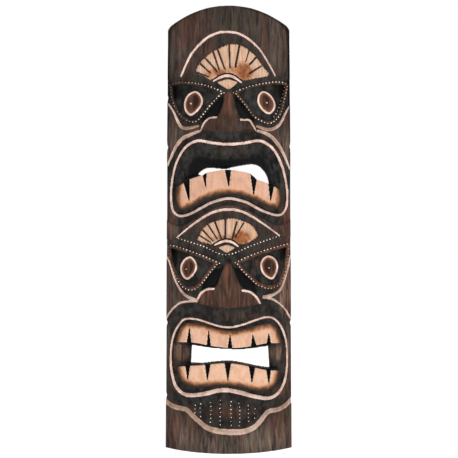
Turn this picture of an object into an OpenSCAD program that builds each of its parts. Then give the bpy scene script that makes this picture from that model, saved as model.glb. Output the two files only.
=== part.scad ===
// Tall wall plaque with two tiki faces, one above the other, carved from one bowed
// slab of light wood. +Z is up, the faces look towards -Y, and the origin is at the
// middle of the foot. The back is hollowed lengthwise and holds a ring hanger.

/* [Slab] */
// Height of the plaque at its middle
slab_h = 1000; // [990:1:1010]
// Width at the foot
foot_w = 290; // [286:1:296]
// Width at the shoulders, under the arched top
shoulder_w = 276; // [272:1:286]
// Height of the arch above the shoulders
arch_rise = 42; // [30:1:50]
// How far the middle of the front stands before its side edges
bow_rise = 52; // [48:1:54]
// Thickness of the slab at its side edges
side_edge = 14; // [12:1:16]
// Width of the hollow in the back
hollow_w = 210; // [200:2:216]
// Depth of the hollow in the back
hollow_deep = 20; // [18:1:21]

/* [Carving] */
// Depth of the fields around brows, eyes and muzzles
field_deep = 5; // [4:0.5:6]
// Depth of the dotted ridges round the eyes
ridge_deep = 2.5; // [2:0.5:3]
// Depth of the eye sockets
socket_deep = 10; // [8:0.5:12]
// Depth of the teeth
teeth_deep = 8; // [7:0.5:9]
// Depth of the pockets behind the lips
pocket_deep = 18; // [16:1:20]
// Width of the light cut lines
line_w = 5; // [4:0.5:6]
// Radius of the painted dots
dot_r = 1.4; // [1.1:0.1:1.6]

/* [Hanger] */
// Height of the ring's hinge above the foot
hinge_z = 900; // [880:1:910]
// Radius of the ring's wire
wire_r = 1.5; // [1.4:0.1:1.6]
// Distance between the centrelines of the ring's legs
ring_w = 27; // [26:1:30]
// Distance from the hinge to the far end of the ring's centreline
ring_reach = 34; // [33:1:36]
// Width of the strap
strap_w = 16; // [15:1:16]
// Thickness of the folded strap
strap_t = 2.4; // [2:0.2:2.6]

/* [Hidden] */
$fn = 96;

slab_t = bow_rise + side_edge;
front_y = -slab_t / 2;
back_y = slab_t / 2;
bow_r = (pow(foot_w / 2, 2) + pow(bow_rise, 2)) / (2 * bow_rise);
bow_y = front_y + bow_r;
hollow_r = (pow(hollow_w / 2, 2) + pow(hollow_deep, 2)) / (2 * hollow_deep);
floor_y = back_y - hollow_deep;
shoulder_z = slab_h - arch_rise;
waist_z = 0.7 * slab_h;
waist_in = 4;        // how far each side has drawn in at that height
arch_r = (pow(shoulder_w / 2, 2) + pow(arch_rise, 2)) / (2 * arch_rise);
span = 2;            // straight steps between two points of a curve
overlap = 0.5;       // how far a shallow cut runs into the deeper one beside it
line_end = 0.4;      // how much of its width a cut line keeps at its ends
ridge_w = 8;         // width of the dotted ridges
dot_inset = 1.8;     // from a ridge's outer edge to its row of dots
dot_step = 7.5;      // distance between dots
eye_deep = 5;        // depth of the eyes' faces
fan_deep = 2;        // depth of the fans over the noses
fan_angles = [12 : 19.5 : 170];  // bearings of the cuts between a fan's rays
ray_w = 4.4;         // width of those cuts at their outer ends
gap_deep = 20;       // depth of the gaps between the teeth
seat_deep = 0.6;     // how far the strap is let into the back
seat_y = floor_y - seat_deep;
hinge_y = seat_y + 3.4;
screw_z = [hinge_z - 9, hinge_z - 19];
screw_r = 1.5;
screw_long = 15;     // below the head, of which the tip is a cone
screw_tip = 3;
head_r = 3.3;
head_h = 2;
head_dome = 4.4;     // radius of the head's rounded top
slot_w = 0.8;        // cross slots in the heads
seat_gap = 0.3;      // room round the strap in its bed
strap_drop = 25;     // from the hinge down to the strap's lower end
barrel_gap = 0.05;   // running clearance round the ring's bar
barrel_wall = 1.2;

// ---- curves ----

// Catmull-Rom point between b and c, with neighbours a and d.
function between(a, b, c, d, t) =
    0.5 * (2 * b + (c - a) * t + (2 * a - 5 * b + 4 * c - d) * t * t
           + (3 * b - a - 3 * c + d) * t * t * t);

// Smooth open curve through the points, without its last point.
function flow(p, steps = span) = let (n = len(p))
    [for (i = [0 : n - 2]) for (k = [0 : steps - 1])
        between(p[max(i - 1, 0)], p[i], p[i + 1], p[min(i + 2, n - 1)], k / steps)];

// The same curve with its last point.
function stroke(p, steps = span) = concat(flow(p, steps), [p[len(p) - 1]]);

// Smooth closed curve through the points.
function loop(p, steps = span) = let (n = len(p))
    [for (i = [0 : n - 1]) for (k = [0 : steps - 1])
        between(p[(i + n - 1) % n], p[i], p[(i + 1) % n], p[(i + 2) % n], k / steps)];

// Direction of a polyline at its point i.
function heading(p, i) = let (a = p[max(i - 1, 0)], b = p[min(i + 1, len(p) - 1)]) (b - a) / norm(b - a);

// The curve moved sideways by d, to its left.
function aside(p, d) = [for (i = [0 : len(p) - 1]) let (h = heading(p, i)) p[i] + d * [-h[1], h[0]]];

// Outline of a cut line of width w along an open curve, narrowing to its ends.
function line_outline(p, w) = let (c = stroke(p), n = len(c))
    concat([for (i = [0 : n - 1]) let (h = heading(c, i), e = end_share(i, n))
               c[i] + w / 2 * e * [-h[1], h[0]]],
           [for (i = [n - 1 : -1 : 0]) let (h = heading(c, i), e = end_share(i, n))
               c[i] - w / 2 * e * [-h[1], h[0]]]);
function end_share(i, n) = i == 0 || i == n - 1 ? line_end : 1;

// Points a fixed step apart along a polyline.
function lengths(p) = [for (i = 0, s = 0; i < len(p); s = s + (i < len(p) - 1 ? norm(p[i + 1] - p[i]) : 0),
                            i = i + 1) s];
function at_length(p, l, s, i = 0) =
    i >= len(p) - 2 || l[i + 1] >= s
        ? p[i] + (p[i + 1] - p[i]) * min(1, (s - l[i]) / (l[i + 1] - l[i]))
        : at_length(p, l, s, i + 1);
function dots_along(p, step, skip = 0) =
    let (c = stroke(p, 6), l = lengths(c), all = l[len(l) - 1], n = floor(all / step))
    [for (i = [skip : n - skip]) at_length(c, l, all * i / n)];

// ---- upper face, seen from the front: x to the right, z up ----

brow_u = [[-110, 848], [-87, 895], [-55, 924], [-8, 942], [30, 934], [67, 908], [92, 878], [106, 850]];
fan_u = [[-72, 854], [-52, 882], [-25, 903], [3, 914], [38, 906], [67, 886], [91, 855], [40, 838],
         [0, 846], [-36, 836]];
ridge_ul_top = [[-10, 808], [-45, 823], [-80, 832], [-117, 837], [-135, 833]];
ridge_ul_low = [[-135, 833], [-132, 800], [-119, 769], [-104, 751], [-84, 741], [-66, 746], [-40, 777],
                [-10, 808]];
ridge_ur_top = [[138, 835], [112, 837], [79, 831], [43, 821], [10, 808]];
ridge_ur_low = [[10, 808], [38, 775], [55, 753], [72, 743], [90, 738], [105, 745], [120, 764], [130, 800],
                [138, 835]];
ridge_ur_second = [[128, 826], [121, 798], [112, 772], [103, 756]];
eye_ul = [[-74, 812], [-61, 801], [-58, 785], [-68, 768], [-85, 757], [-98, 768], [-101, 787], [-92, 805]];
eye_ur = [[77, 812], [92, 807], [104, 792], [105, 775], [93, 761], [77, 767], [66, 782], [66, 801]];
cheek_ul = [[-148, 797], [-126, 770], [-117, 747], [-104, 731], [-92, 728], [-67, 731]];
cheek_ur = [[148, 793], [128, 763], [120, 745], [105, 730], [87, 727], [65, 731]];
jowl_ul = [[-67, 726], [-87, 715], [-107, 704], [-124, 686], [-135, 664], [-149, 634]];
jowl_ur = [[65, 726], [87, 718], [107, 707], [122, 688], [135, 664], [149, 636]];
nose_u = [[-8, 806], [-13, 781], [-20, 762], [-29, 750], [-45, 749], [-56, 741], [-64, 723], [-35, 719],
          [0, 717],
          [35, 720], [64, 723], [55, 740], [45, 748], [30, 748], [16, 774], [7, 806]];
mouth_u = [[-69, 700], [-35, 694], [0, 691], [35, 694], [67, 700], [90, 692], [107, 675], [120, 649],
           [129, 619],
           [134, 589], [133, 557], [125, 539], [112, 533], [92, 537], [67, 547], [38, 562], [0, 570],
           [-35, 562],
           [-60, 550], [-84, 537], [-107, 531], [-122, 537], [-130, 552], [-132, 590], [-124, 638],
           [-112, 667],
           [-95, 689]];
teeth_u_top = [[-121, 597], [-102, 607], [-89, 613], [-59, 622], [-35, 630], [0, 635], [35, 630],
               [63, 615], [92, 604],
               [121, 589]];
teeth_u_low = [[121, 589], [120, 565], [110, 551], [87, 556], [55, 570], [31, 579], [0, 583], [-25, 580],
               [-55, 571],
               [-84, 554], [-104, 545], [-116, 552], [-121, 570], [-121, 597]];
gaps_u = [[-96, 609, -90, 567, 14], [-55, 624, -52, 598, 9], [-2, 640, 0, 598, 14], [57, 622, 56, 580, 15],
          [96, 606, 95, 567, 13]];
hole_u_top = [[-70, 618], [-64, 633], [-50, 640], [-30, 640], [-8, 638], [9, 642], [35, 647], [53, 649],
              [67, 646],
              [79, 636], [88, 621], [92, 602]];
hole_u_low = [[92, 602], [62, 613], [33, 628], [0, 633], [-35, 628], [-58, 620], [-70, 618]];

// ---- lower face ----

brow_l = [[-118, 482], [-96, 500], [-72, 518], [-42, 536], [-16, 544], [9, 545], [31, 540], [55, 528],
          [87, 507], [115, 487]];
fan_l = [[-68, 475], [-61, 494], [-40, 512], [-11, 523], [8, 525], [31, 517], [53, 503], [65, 482],
         [34, 469], [0, 476],
         [-34, 468]];
ridge_ll_top = [[-20, 427], [-64, 446], [-117, 463], [-141, 467]];
ridge_ll_low = [[-141, 467], [-137, 430], [-129, 407], [-118, 386], [-102, 367], [-82, 363], [-64, 373],
                [-40, 404], [-20, 427]];
ridge_lr_top = [[141, 471], [93, 459], [48, 444], [14, 428]];
ridge_lr_low = [[14, 428], [31, 406], [48, 390], [60, 378], [75, 370], [93, 366], [110, 370], [122, 382],
                [131, 404], [137, 435],
                [141, 471]];
eye_ll = [[-87, 440], [-75, 430], [-71, 415], [-79, 398], [-94, 387], [-106, 397], [-110, 415], [-102, 432]];
eye_lr = [[85, 441], [101, 438], [111, 425], [111, 407], [101, 389], [88, 391], [74, 406], [72, 427]];
cheek_ll = [[-149, 436], [-131, 399], [-120, 373], [-104, 355], [-89, 346], [-72, 344]];
cheek_lr = [[149, 442], [138, 409], [128, 380], [112, 357], [97, 350], [74, 346]];
jowl_ll = [[-74, 340], [-96, 337], [-117, 326], [-132, 310], [-149, 286]];
jowl_lr = [[76, 343], [94, 341], [112, 332], [128, 318], [149, 288]];
nose_l = [[-7, 424], [-12, 415], [-19, 397], [-29, 372], [-47, 368], [-62, 359], [-72, 337], [-40, 329],
          [0, 324], [35, 328],
          [72, 335], [62, 350], [48, 361], [29, 371], [16, 397], [5, 424]];
mouth_l = [[-107, 292], [-92, 299], [-69, 298], [-45, 291], [-20, 284], [4, 282], [33, 288], [57, 296],
           [79, 302],
           [97, 301], [110, 292], [122, 274], [131, 246], [134, 216], [133, 181], [127, 152], [115, 131],
           [99, 121],
           [82, 120], [53, 127], [28, 135], [0, 141], [-25, 140], [-45, 134], [-67, 129], [-92, 126],
           [-108, 131],
           [-122, 146], [-130, 172], [-133, 201], [-131, 236], [-124, 264]];
teeth_lu_top = [[-121, 242], [-112, 274], [-98, 286], [-78, 289], [-55, 286], [-30, 278], [4, 273],
                [33, 276], [67, 284],
                [92, 287], [108, 278], [117, 258], [120, 242]];
teeth_lu_low = [[120, 242], [87, 243], [57, 239], [31, 236], [4, 235], [-20, 237], [-45, 240], [-69, 244],
                [-94, 245],
                [-121, 242]];
teeth_ll_top = [[-121, 185], [-99, 190], [-69, 194], [-40, 198], [-6, 200], [23, 198], [53, 191],
                [87, 183], [120, 179]];
teeth_ll_low = [[120, 179], [112, 156], [97, 141], [79, 137], [55, 141], [31, 148], [0, 154], [-25, 153],
                [-55, 149],
                [-79, 147], [-98, 150], [-113, 162], [-121, 185]];
gaps_lu = [[-90, 238, -89, 276, 11], [-45, 234, -45, 271, 9], [3, 229, 3, 263, 11], [57, 233, 54, 263, 13],
           [91, 237, 91, 264, 10]];
gaps_ll = [[-93, 197, -93, 161, 11], [-47, 203, -48, 164, 13], [-2, 207, -2, 164, 15], [53, 198, 52, 158, 15],
           [90, 190, 91, 153, 11]];
hole_l_top = [[-84, 237], [-30, 232], [18, 230], [57, 231], [89, 234]];
hole_l_low = [[93, 185], [60, 192], [30, 198], [0, 202], [-30, 200], [-60, 196], [-86, 194]];
chin = [[-149, 108], [-130, 93], [-104, 88], [-92, 87], [-79, 79], [-59, 63], [-35, 52], [-6, 46],
        [14, 43], [38, 47],
        [62, 58], [79, 74], [92, 85], [112, 87], [130, 96], [149, 112]];
bowl = [[-84, 96], [-58, 113], [-31, 124], [0, 127], [31, 122], [60, 109], [84, 96], [72, 76], [55, 62],
        [35, 54],
        [10, 50], [-15, 53], [-40, 61], [-62, 74]];
chin_rows = [[-75, 105, 84], [-62, 113, 73], [-40, 116, 67], [-18, 123, 62], [5, 120, 62], [25, 116, 62],
             [45, 110, 71],
             [60, 100, 76]];

// ---- slab and cuts ----

// The front surface of the slab, sunk by deep, at x.
function front_at(x, deep = 0) = bow_y - sqrt(pow(bow_r - deep, 2) - x * x);

// A flat outline in x and z, pulled through the whole thickness.
module through() translate([0, back_y + 5, 0]) rotate([90, 0, 0]) linear_extrude(slab_t + 10) children();

// Takes the outline away down to deep below the front surface.
module carve(deep) difference() {
    through() children();
    translate([0, bow_y, -20]) cylinder(r = bow_r - deep, h = slab_h + 40);
}

module slab_outline() intersection() {
    polygon([[-foot_w / 2, 0], [foot_w / 2, 0], [foot_w / 2 - waist_in, waist_z],
             [shoulder_w / 2, shoulder_z + 1], [shoulder_w / 2, slab_h + 1],
             [-shoulder_w / 2, slab_h + 1], [-shoulder_w / 2, shoulder_z + 1],
             [waist_in - foot_w / 2, waist_z]]);
    union() {
        translate([-foot_w, -1]) square([2 * foot_w, shoulder_z - 20]);
        translate([0, slab_h - arch_r]) circle(arch_r);
    }
}

module blank() difference() {
    intersection() {
        through() slab_outline();
        translate([0, bow_y, -10]) cylinder(r = bow_r, h = slab_h + 20);
        translate([-foot_w, front_y - 5, -10]) cube([2 * foot_w, slab_t + 5, slab_h + 20]);
    }
    translate([0, floor_y + hollow_r, -10]) cylinder(r = hollow_r, h = slab_h + 20);
}

// ---- outlines of the cuts; closed ones run clockwise, ridges the other way ----

function joined(curves) = [for (c = curves) for (q = flow(c)) q];
module patch(curves) polygon(joined(curves));
module inner(curves) offset(delta = -ridge_w) patch(curves);
module blob(p, grow = 0) offset(delta = grow) polygon(loop(p));
module grown() offset(delta = overlap) children();
module cut_line(p) polygon(line_outline(p, line_w));
module rim_line(p) difference() {
    blob(p, line_w / 2);
    blob(p, -line_w / 2);
}
module gap_cuts(gaps) for (g = gaps)
    polygon([[g[0] - g[4] / 2, g[1]], [g[0] + g[4] / 2, g[1]], [g[2], g[3]]]);
module fan_cuts(centre, near, far) for (a = fan_angles)
    translate(centre) rotate(a)
        polygon([[near, -ray_w / 4], [far, -ray_w / 2], [far, ray_w / 2], [near, ray_w / 4]]);

module upper_field() polygon(concat(
    flow(brow_u), [[124, 846], [155, 838]], flow(cheek_ur), flow([[65, 731], [0, 712], [-67, 731]]),
    flow(reversed(cheek_ul)), [[-155, 838], [-124, 846]]));
module lower_field() polygon(concat(
    flow(brow_l), [[130, 482], [155, 487]], flow(cheek_lr), flow([[74, 346], [0, 318], [-72, 344]]),
    flow(reversed(cheek_ll)), [[-155, 480], [-130, 477]]));
module upper_muzzle() polygon(concat(
    flow(jowl_ur), [[155, 600], [155, 545], [135, 516], [105, 510], [70, 528], [35, 547], [0, 554],
    [-35, 547], [-70, 527], [-105, 508], [-135, 514], [-155, 545], [-155, 600]],
    flow(reversed(jowl_ul)), [[-35, 719], [0, 716], [35, 719]]));
module lower_muzzle() polygon(concat(
    flow(jowl_lr), flow(reversed(chin)), flow(reversed(jowl_ll)), [[-40, 328], [0, 323], [40, 328]]));
function reversed(p) = [for (i = [len(p) - 1 : -1 : 0]) p[i]];

// ---- carving ----

module face_cuts() {
    carve(field_deep) difference() {
        union() {
            upper_field();
            lower_field();
            upper_muzzle();
            lower_muzzle();
        }
        blob(nose_u);
        blob(nose_l);
        blob(fan_u);
        blob(fan_l);
        blob(bowl);
        patch([ridge_ul_top, ridge_ul_low]);
        patch([ridge_ur_top, ridge_ur_low]);
        patch([ridge_ll_top, ridge_ll_low]);
        patch([ridge_lr_top, ridge_lr_low]);
    }
    carve(fan_deep) grown() {
        blob(fan_u);
        blob(fan_l);
        blob(bowl);
    }
    carve(2 * fan_deep) {
        fan_cuts([-3, 812], 28, 84);
        fan_cuts([-4, 452], 22, 64);
    }
}

module eye_cuts() {
    carve(ridge_deep) grown() {
        patch([ridge_ul_top, ridge_ul_low]);
        patch([ridge_ur_top, ridge_ur_low]);
        patch([ridge_ll_top, ridge_ll_low]);
        patch([ridge_lr_top, ridge_lr_low]);
    }
    carve(socket_deep) difference() {
        union() {
            inner([ridge_ul_top, ridge_ul_low]);
            inner([ridge_ur_top, ridge_ur_low]);
            inner([ridge_ll_top, ridge_ll_low]);
            inner([ridge_lr_top, ridge_lr_low]);
        }
        blob(eye_ul);
        blob(eye_ur);
        blob(eye_ll);
        blob(eye_lr);
    }
    carve(eye_deep) grown() {
        blob(eye_ul);
        blob(eye_ur);
        blob(eye_ll);
        blob(eye_lr);
    }
    carve(eye_deep + 1.5) {
        blob(eye_ul, -line_w);
        blob(eye_ur, -line_w);
        blob(eye_ll, -line_w);
        blob(eye_lr, -line_w);
    }
}

module mouth_cuts() {
    carve(field_deep + 2) {
        rim_line(mouth_u);
        rim_line(mouth_l);
    }
    carve(pocket_deep) difference() {
        union() {
            blob(mouth_u, -line_w);
            blob(mouth_l, -line_w);
        }
        patch([teeth_u_top, teeth_u_low]);
        patch([teeth_lu_top, teeth_lu_low]);
        patch([teeth_ll_top, teeth_ll_low]);
    }
    carve(teeth_deep) grown() {
        patch([teeth_u_top, teeth_u_low]);
        patch([teeth_lu_top, teeth_lu_low]);
        patch([teeth_ll_top, teeth_ll_low]);
    }
    carve(gap_deep) {
        gap_cuts(gaps_u);
        gap_cuts(gaps_lu);
        gap_cuts(gaps_ll);
    }
    through() {
        patch([hole_u_top, hole_u_low]);
        patch([hole_l_top, [[89, 234], [93, 185]], hole_l_low, [[-86, 194], [-84, 237]]]);
    }
}

module line_cuts() carve(field_deep + 2) {
    cut_line(brow_u);
    cut_line(brow_l);
    cut_line(cheek_ul);
    cut_line(cheek_ur);
    cut_line(jowl_ul);
    cut_line(jowl_ur);
    cut_line(cheek_ll);
    cut_line(cheek_lr);
    cut_line(jowl_ll);
    cut_line(jowl_lr);
    cut_line(chin);
}

// Bed for the strap, and pilot holes for its screws.
module strap_seat() {
    translate([-strap_w / 2 - seat_gap, seat_y, hinge_z - strap_drop - seat_gap])
        cube([strap_w + 2 * seat_gap, hollow_deep, strap_drop + 6]);
    for (z = screw_z) translate([0, seat_y + 1, z]) rotate([90, 0, 0])
        cylinder(r = screw_r + 0.05, h = screw_long + 3);
}

module carved_board() color([0.23, 0.14, 0.1]) difference() {
    blank();
    face_cuts();
    eye_cuts();
    mouth_cuts();
    line_cuts();
    strap_seat();
}

// ---- painted dots, half sunk in the wood ----

module dots(points, deep, r = dot_r) color([0.93, 0.87, 0.78])
    for (q = points) translate([q[0], front_at(q[0], deep), q[1]]) sphere(r, $fn = 24);

function rim_dots(top, low, step) = concat(dots_along(aside(stroke(top), dot_inset), step),
                                           dots_along(aside(stroke(low), dot_inset), step, 1));
module upper_left_eye_dots() dots(rim_dots(ridge_ul_top, ridge_ul_low, dot_step), ridge_deep);
module upper_right_eye_dots() dots(concat(rim_dots(ridge_ur_top, ridge_ur_low, dot_step),
    dots_along(ridge_ur_second, dot_step)), ridge_deep);
module lower_left_eye_dots() dots(rim_dots(ridge_ll_top, ridge_ll_low, dot_step), ridge_deep);
module lower_right_eye_dots() dots(rim_dots(ridge_lr_top, ridge_lr_low, dot_step), ridge_deep);
module brow_bar_dots() dots(
    dots_along([[-114, 480], [-60, 464], [-6, 444], [55, 466], [115, 486]], dot_step), field_deep);
module chin_dots() dots([for (c = chin_rows) let (n = round((c[1] - c[2]) / 10))
    for (i = [0 : n]) [c[0], c[1] + (c[2] - c[1]) * i / n]], fan_deep, dot_r - 0.2);
module eye_glints() dots([[-85, 784], [86, 786], [-96, 411], [91, 414]], eye_deep + 1.5, 2);

// ---- hanger on the back ----

// A folded strap whose fold holds the ring's bar.
module hanger_strap() color([0.72, 0.66, 0.5]) difference() {
    union() {
        translate([-strap_w / 2, seat_y, hinge_z - strap_drop]) cube([strap_w, strap_t, strap_drop]);
        translate([-strap_w / 2, hinge_y, hinge_z]) rotate([0, 90, 0])
            cylinder(r = wire_r + barrel_gap + barrel_wall, h = strap_w);
    }
    translate([-strap_w, hinge_y, hinge_z]) rotate([0, 90, 0])
        cylinder(r = wire_r + barrel_gap, h = 2 * strap_w);
    for (z = screw_z) translate([0, seat_y + strap_t + 1, z]) rotate([90, 0, 0])
        cylinder(r = screw_r + 0.1, h = strap_t + 2);
}

// Its head's underside lies at y = 0.
module pan_screw() {
    translate([0, screw_tip - screw_long - strap_t, 0]) rotate([-90, 0, 0])
        cylinder(r = screw_r, h = strap_t + screw_long - screw_tip);
    translate([0, -screw_long - strap_t, 0]) rotate([-90, 0, 0])
        cylinder(r1 = 0.3, r2 = screw_r, h = screw_tip);
    difference() {
        intersection() {
            rotate([-90, 0, 0]) cylinder(r = head_r, h = head_h);
            translate([0, head_h - head_dome, 0]) sphere(head_dome);
        }
        for (turn = [45, 135]) rotate([0, turn, 0])
            translate([-1.8, head_h / 2, -slot_w / 2]) cube([3.6, head_h, slot_w]);
    }
}

module hanger_screws() color([0.75, 0.72, 0.62])
    for (z = screw_z) translate([0, seat_y + strap_t, z]) pan_screw();

// A D of round wire, hanging from its straight bar.
module hanger_ring() color([0.75, 0.72, 0.62]) translate([0, hinge_y, hinge_z]) {
    leg = ring_reach - ring_w / 2;
    translate([-ring_w / 2, 0, 0]) rotate([0, 90, 0]) cylinder(r = wire_r, h = ring_w);
    for (x = [-ring_w / 2, ring_w / 2]) translate([x, 0, 0]) {
        sphere(wire_r);
        translate([0, 0, -leg]) cylinder(r = wire_r, h = leg);
    }
    translate([0, 0, -leg]) rotate([90, 0, 0]) rotate([0, 0, 180]) rotate_extrude(angle = 180)
        translate([ring_w / 2, 0]) circle(wire_r);
}

carved_board();
upper_left_eye_dots();
upper_right_eye_dots();
lower_left_eye_dots();
lower_right_eye_dots();
brow_bar_dots();
chin_dots();
eye_glints();
hanger_strap();
hanger_screws();
hanger_ring();
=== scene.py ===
import math
import bpy
import numpy as np
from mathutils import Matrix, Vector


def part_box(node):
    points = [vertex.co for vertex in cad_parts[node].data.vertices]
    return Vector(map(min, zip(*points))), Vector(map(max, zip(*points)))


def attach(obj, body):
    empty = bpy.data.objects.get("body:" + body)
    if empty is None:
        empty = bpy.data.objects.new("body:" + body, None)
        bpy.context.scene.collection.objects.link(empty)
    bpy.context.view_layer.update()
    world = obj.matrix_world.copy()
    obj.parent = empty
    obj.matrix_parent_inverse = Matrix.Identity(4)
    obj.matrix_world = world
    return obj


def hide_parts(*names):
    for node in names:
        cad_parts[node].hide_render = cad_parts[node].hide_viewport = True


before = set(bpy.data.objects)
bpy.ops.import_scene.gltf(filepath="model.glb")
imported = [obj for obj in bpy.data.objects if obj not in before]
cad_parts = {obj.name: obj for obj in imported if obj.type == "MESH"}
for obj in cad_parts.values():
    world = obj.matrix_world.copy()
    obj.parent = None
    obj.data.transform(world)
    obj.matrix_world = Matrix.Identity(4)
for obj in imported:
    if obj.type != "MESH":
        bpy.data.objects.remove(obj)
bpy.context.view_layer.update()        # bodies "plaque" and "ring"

mm = 0.001
boardLow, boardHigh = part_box("carved_board")


def pick(*pieces):
    # selects only these, the last one active
    bpy.ops.object.select_all(action="DESELECT")
    for piece in pieces:
        piece.select_set(True)
        bpy.context.view_layer.objects.active = piece


# camera and studio

# each light has its place, size and power; all aim at the board's middle
studio = {"distance": 1.70, "height": 0.5017, "aside": 0.0007, "lens": 60.0, "film": 36, "glow": 0.42,
          "paper": (0.95, 0.95, 0.95), "paperRough": 0.95, "paperShine": 0.1, "paperGlow": 0.62,
          "floorWide": 12.0, "aim": (0, 0, 0.5),
          "key": ((1.1, -1.7, 1.3), (1.1, 1.1), 27), "fill": ((-1.5, -1.7, 0.9), (1.4, 1.8), 16)}


def placeCamera():
    spot = (studio["aside"], boardLow.y - studio["distance"], studio["height"])
    bpy.ops.object.camera_add(location=spot, rotation=(math.radians(90), 0, 0))
    camera = bpy.context.object
    camera.name = "camera"
    camera.data.lens = studio["lens"]
    camera.data.sensor_width = studio["film"]
    bpy.context.scene.camera = camera


def softLight(name, spot, size, power):
    bpy.ops.object.light_add(type="AREA", location=spot)
    lamp = bpy.context.object
    lamp.name = name
    lamp.data.shape = "RECTANGLE"
    lamp.data.size, lamp.data.size_y = size
    lamp.data.energy = power
    way = [to - at for to, at in zip(studio["aim"], spot)]
    flat = math.hypot(way[0], way[1])
    heading = math.atan2(way[1], way[0]) - math.pi / 2
    lamp.rotation_euler = (math.atan2(flat, -way[2]), 0, heading)


def layFloor():
    pick()
    bpy.ops.mesh.primitive_plane_add(size=studio["floorWide"])
    floor = bpy.context.object
    floor.name = "floor"
    paper = bpy.data.materials.new("paper")
    paper.use_nodes = True
    shader = paper.node_tree.nodes["Principled BSDF"]
    shader.inputs["Base Color"].default_value = (*studio["paper"], 1)
    shader.inputs["Roughness"].default_value = studio["paperRough"]
    shader.inputs["Specular IOR Level"].default_value = studio["paperShine"]
    shader.inputs["Emission Color"].default_value = (1, 1, 1, 1)
    shader.inputs["Emission Strength"].default_value = studio["paperGlow"]
    floor.data.materials.append(paper)


def lightStudio():
    world = bpy.data.worlds.new("softbox")
    world.use_nodes = True
    nodes, links = world.node_tree.nodes, world.node_tree.links
    nodes["Background"].inputs["Color"].default_value = (1, 1, 1, 1)
    rays = nodes.new("ShaderNodeLightPath")
    level = nodes.new("ShaderNodeMapRange")       # plain white to the eye, dimmer as a light
    links.new(rays.outputs["Is Camera Ray"], level.inputs["Value"])
    level.inputs["To Min"].default_value = studio["glow"]
    level.inputs["To Max"].default_value = 1.0
    links.new(level.outputs["Result"], nodes["Background"].inputs["Strength"])
    bpy.context.scene.world = world
    softLight("keyLight", *studio["key"])
    softLight("fillLight", *studio["fill"])
    bpy.context.scene.view_settings.view_transform = "Standard"


placeCamera()
layFloor()
lightStudio()
print("studio ready")

# the slab: a grid that follows its outline, in millimetres

slab = {"halfFoot": boardHigh.x / mm, "halfWaist": 141, "waist": 700, "halfShoulder": 138, "shoulder": 958,
        "top": boardHigh.z / mm, "front": boardLow.y / mm, "back": boardHigh.y / mm,
        "bowRise": 52, "halfHollow": 105, "hollow": 20, "archFrom": 880, "cornerWide": 9, "cornerDrop": 5,
        "edgeRound": 3.0, "sideCuts": 5, "thinnest": 3, "step": 1.25,
        "faces": 194000, "keepNear": 2.6,          # left by thinning, which stays off the stains' edges
        # nicks in the side edges where cuts run out: side, height, depth
        "notches": [(-1, 801, 1.6), (-1, 689, 2.2), (-1, 286, 2.4), (-1, 119, 2.0),
                    (1, 286, 2.2), (1, 690, 1.6), (1, 108, 1.6)],
        "notchTall": 5, "gougeWide": 17, "gougeLong": 90, "gougeDeep": 1.3}
bowRadius = (slab["halfFoot"] ** 2 + slab["bowRise"] ** 2) / (2 * slab["bowRise"])
bowAxis = slab["front"] + bowRadius
hollowRadius = (slab["halfHollow"] ** 2 + slab["hollow"] ** 2) / (2 * slab["hollow"])
hollowAxis = slab["back"] - slab["hollow"] + hollowRadius
archRise = slab["top"] - slab["shoulder"]
archRadius = (slab["halfShoulder"] ** 2 + archRise ** 2) / (2 * archRise)
rng = np.random.default_rng(7)


def wander(x, z, acrossMm, alongMm, waves=7):
    # slow random unevenness from a few crossed waves, mostly between -1 and 1
    total = 0
    for n in range(waves):
        turn = rng.uniform(-0.5, 0.5)
        stretch = rng.uniform(0.7, 1.9)
        phase = rng.uniform(0, 2 * math.pi)
        course = x / acrossMm * math.cos(turn) + z / alongMm * math.sin(turn + 0.9)
        total = total + np.sin(stretch * 2 * math.pi * course + phase)
    return total / math.sqrt(waves)


across = round(2 * slab["halfFoot"] / slab["step"])
rowsUp = round(slab["top"] / slab["step"])
shareX, shareZ = np.meshgrid(np.linspace(-1, 1, across + 1), np.linspace(0, 1, rowsUp + 1))
flatZ = shareZ * slab["top"]
halfWide = np.interp(flatZ, [0, slab["waist"], slab["shoulder"], slab["top"]],
                     [slab["halfFoot"], slab["halfWaist"], slab["halfShoulder"], slab["halfShoulder"]])
for side, height, bite in slab["notches"]:
    nick = bite * np.exp(-((flatZ - height) / slab["notchTall"]) ** 2)
    halfWide = halfWide - nick * (np.sign(shareX) == side)
gridX = shareX * halfWide


def archHeight(x):
    # the top's curve, turned down a little at its two corners
    corner = np.clip((abs(x) - slab["halfShoulder"]) / slab["cornerWide"] + 1, 0, 1)
    return slab["top"] - archRadius + np.sqrt(archRadius ** 2 - x ** 2) - slab["cornerDrop"] * corner ** 2


archAt = archHeight(gridX)
rise = np.clip((flatZ - slab["archFrom"]) / (slab["top"] - slab["archFrom"]), 0, 1)
gridZ = flatZ + rise * (archAt - slab["top"])
hollowX = np.clip(abs(gridX), 0, slab["halfHollow"])
backY = np.where(abs(gridX) < slab["halfHollow"],
                 hollowAxis - np.sqrt(hollowRadius ** 2 - hollowX ** 2), slab["back"])


def frontAt(x, deep):
    # the bowed front, sunk by deep
    return bowAxis - np.sqrt(np.maximum((bowRadius - deep) ** 2 - x ** 2, 1))


def slope(value, start, end):
    t = np.clip((value - start) / (end - start), 0, 1)
    return t * t * (3 - 2 * t)


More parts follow.
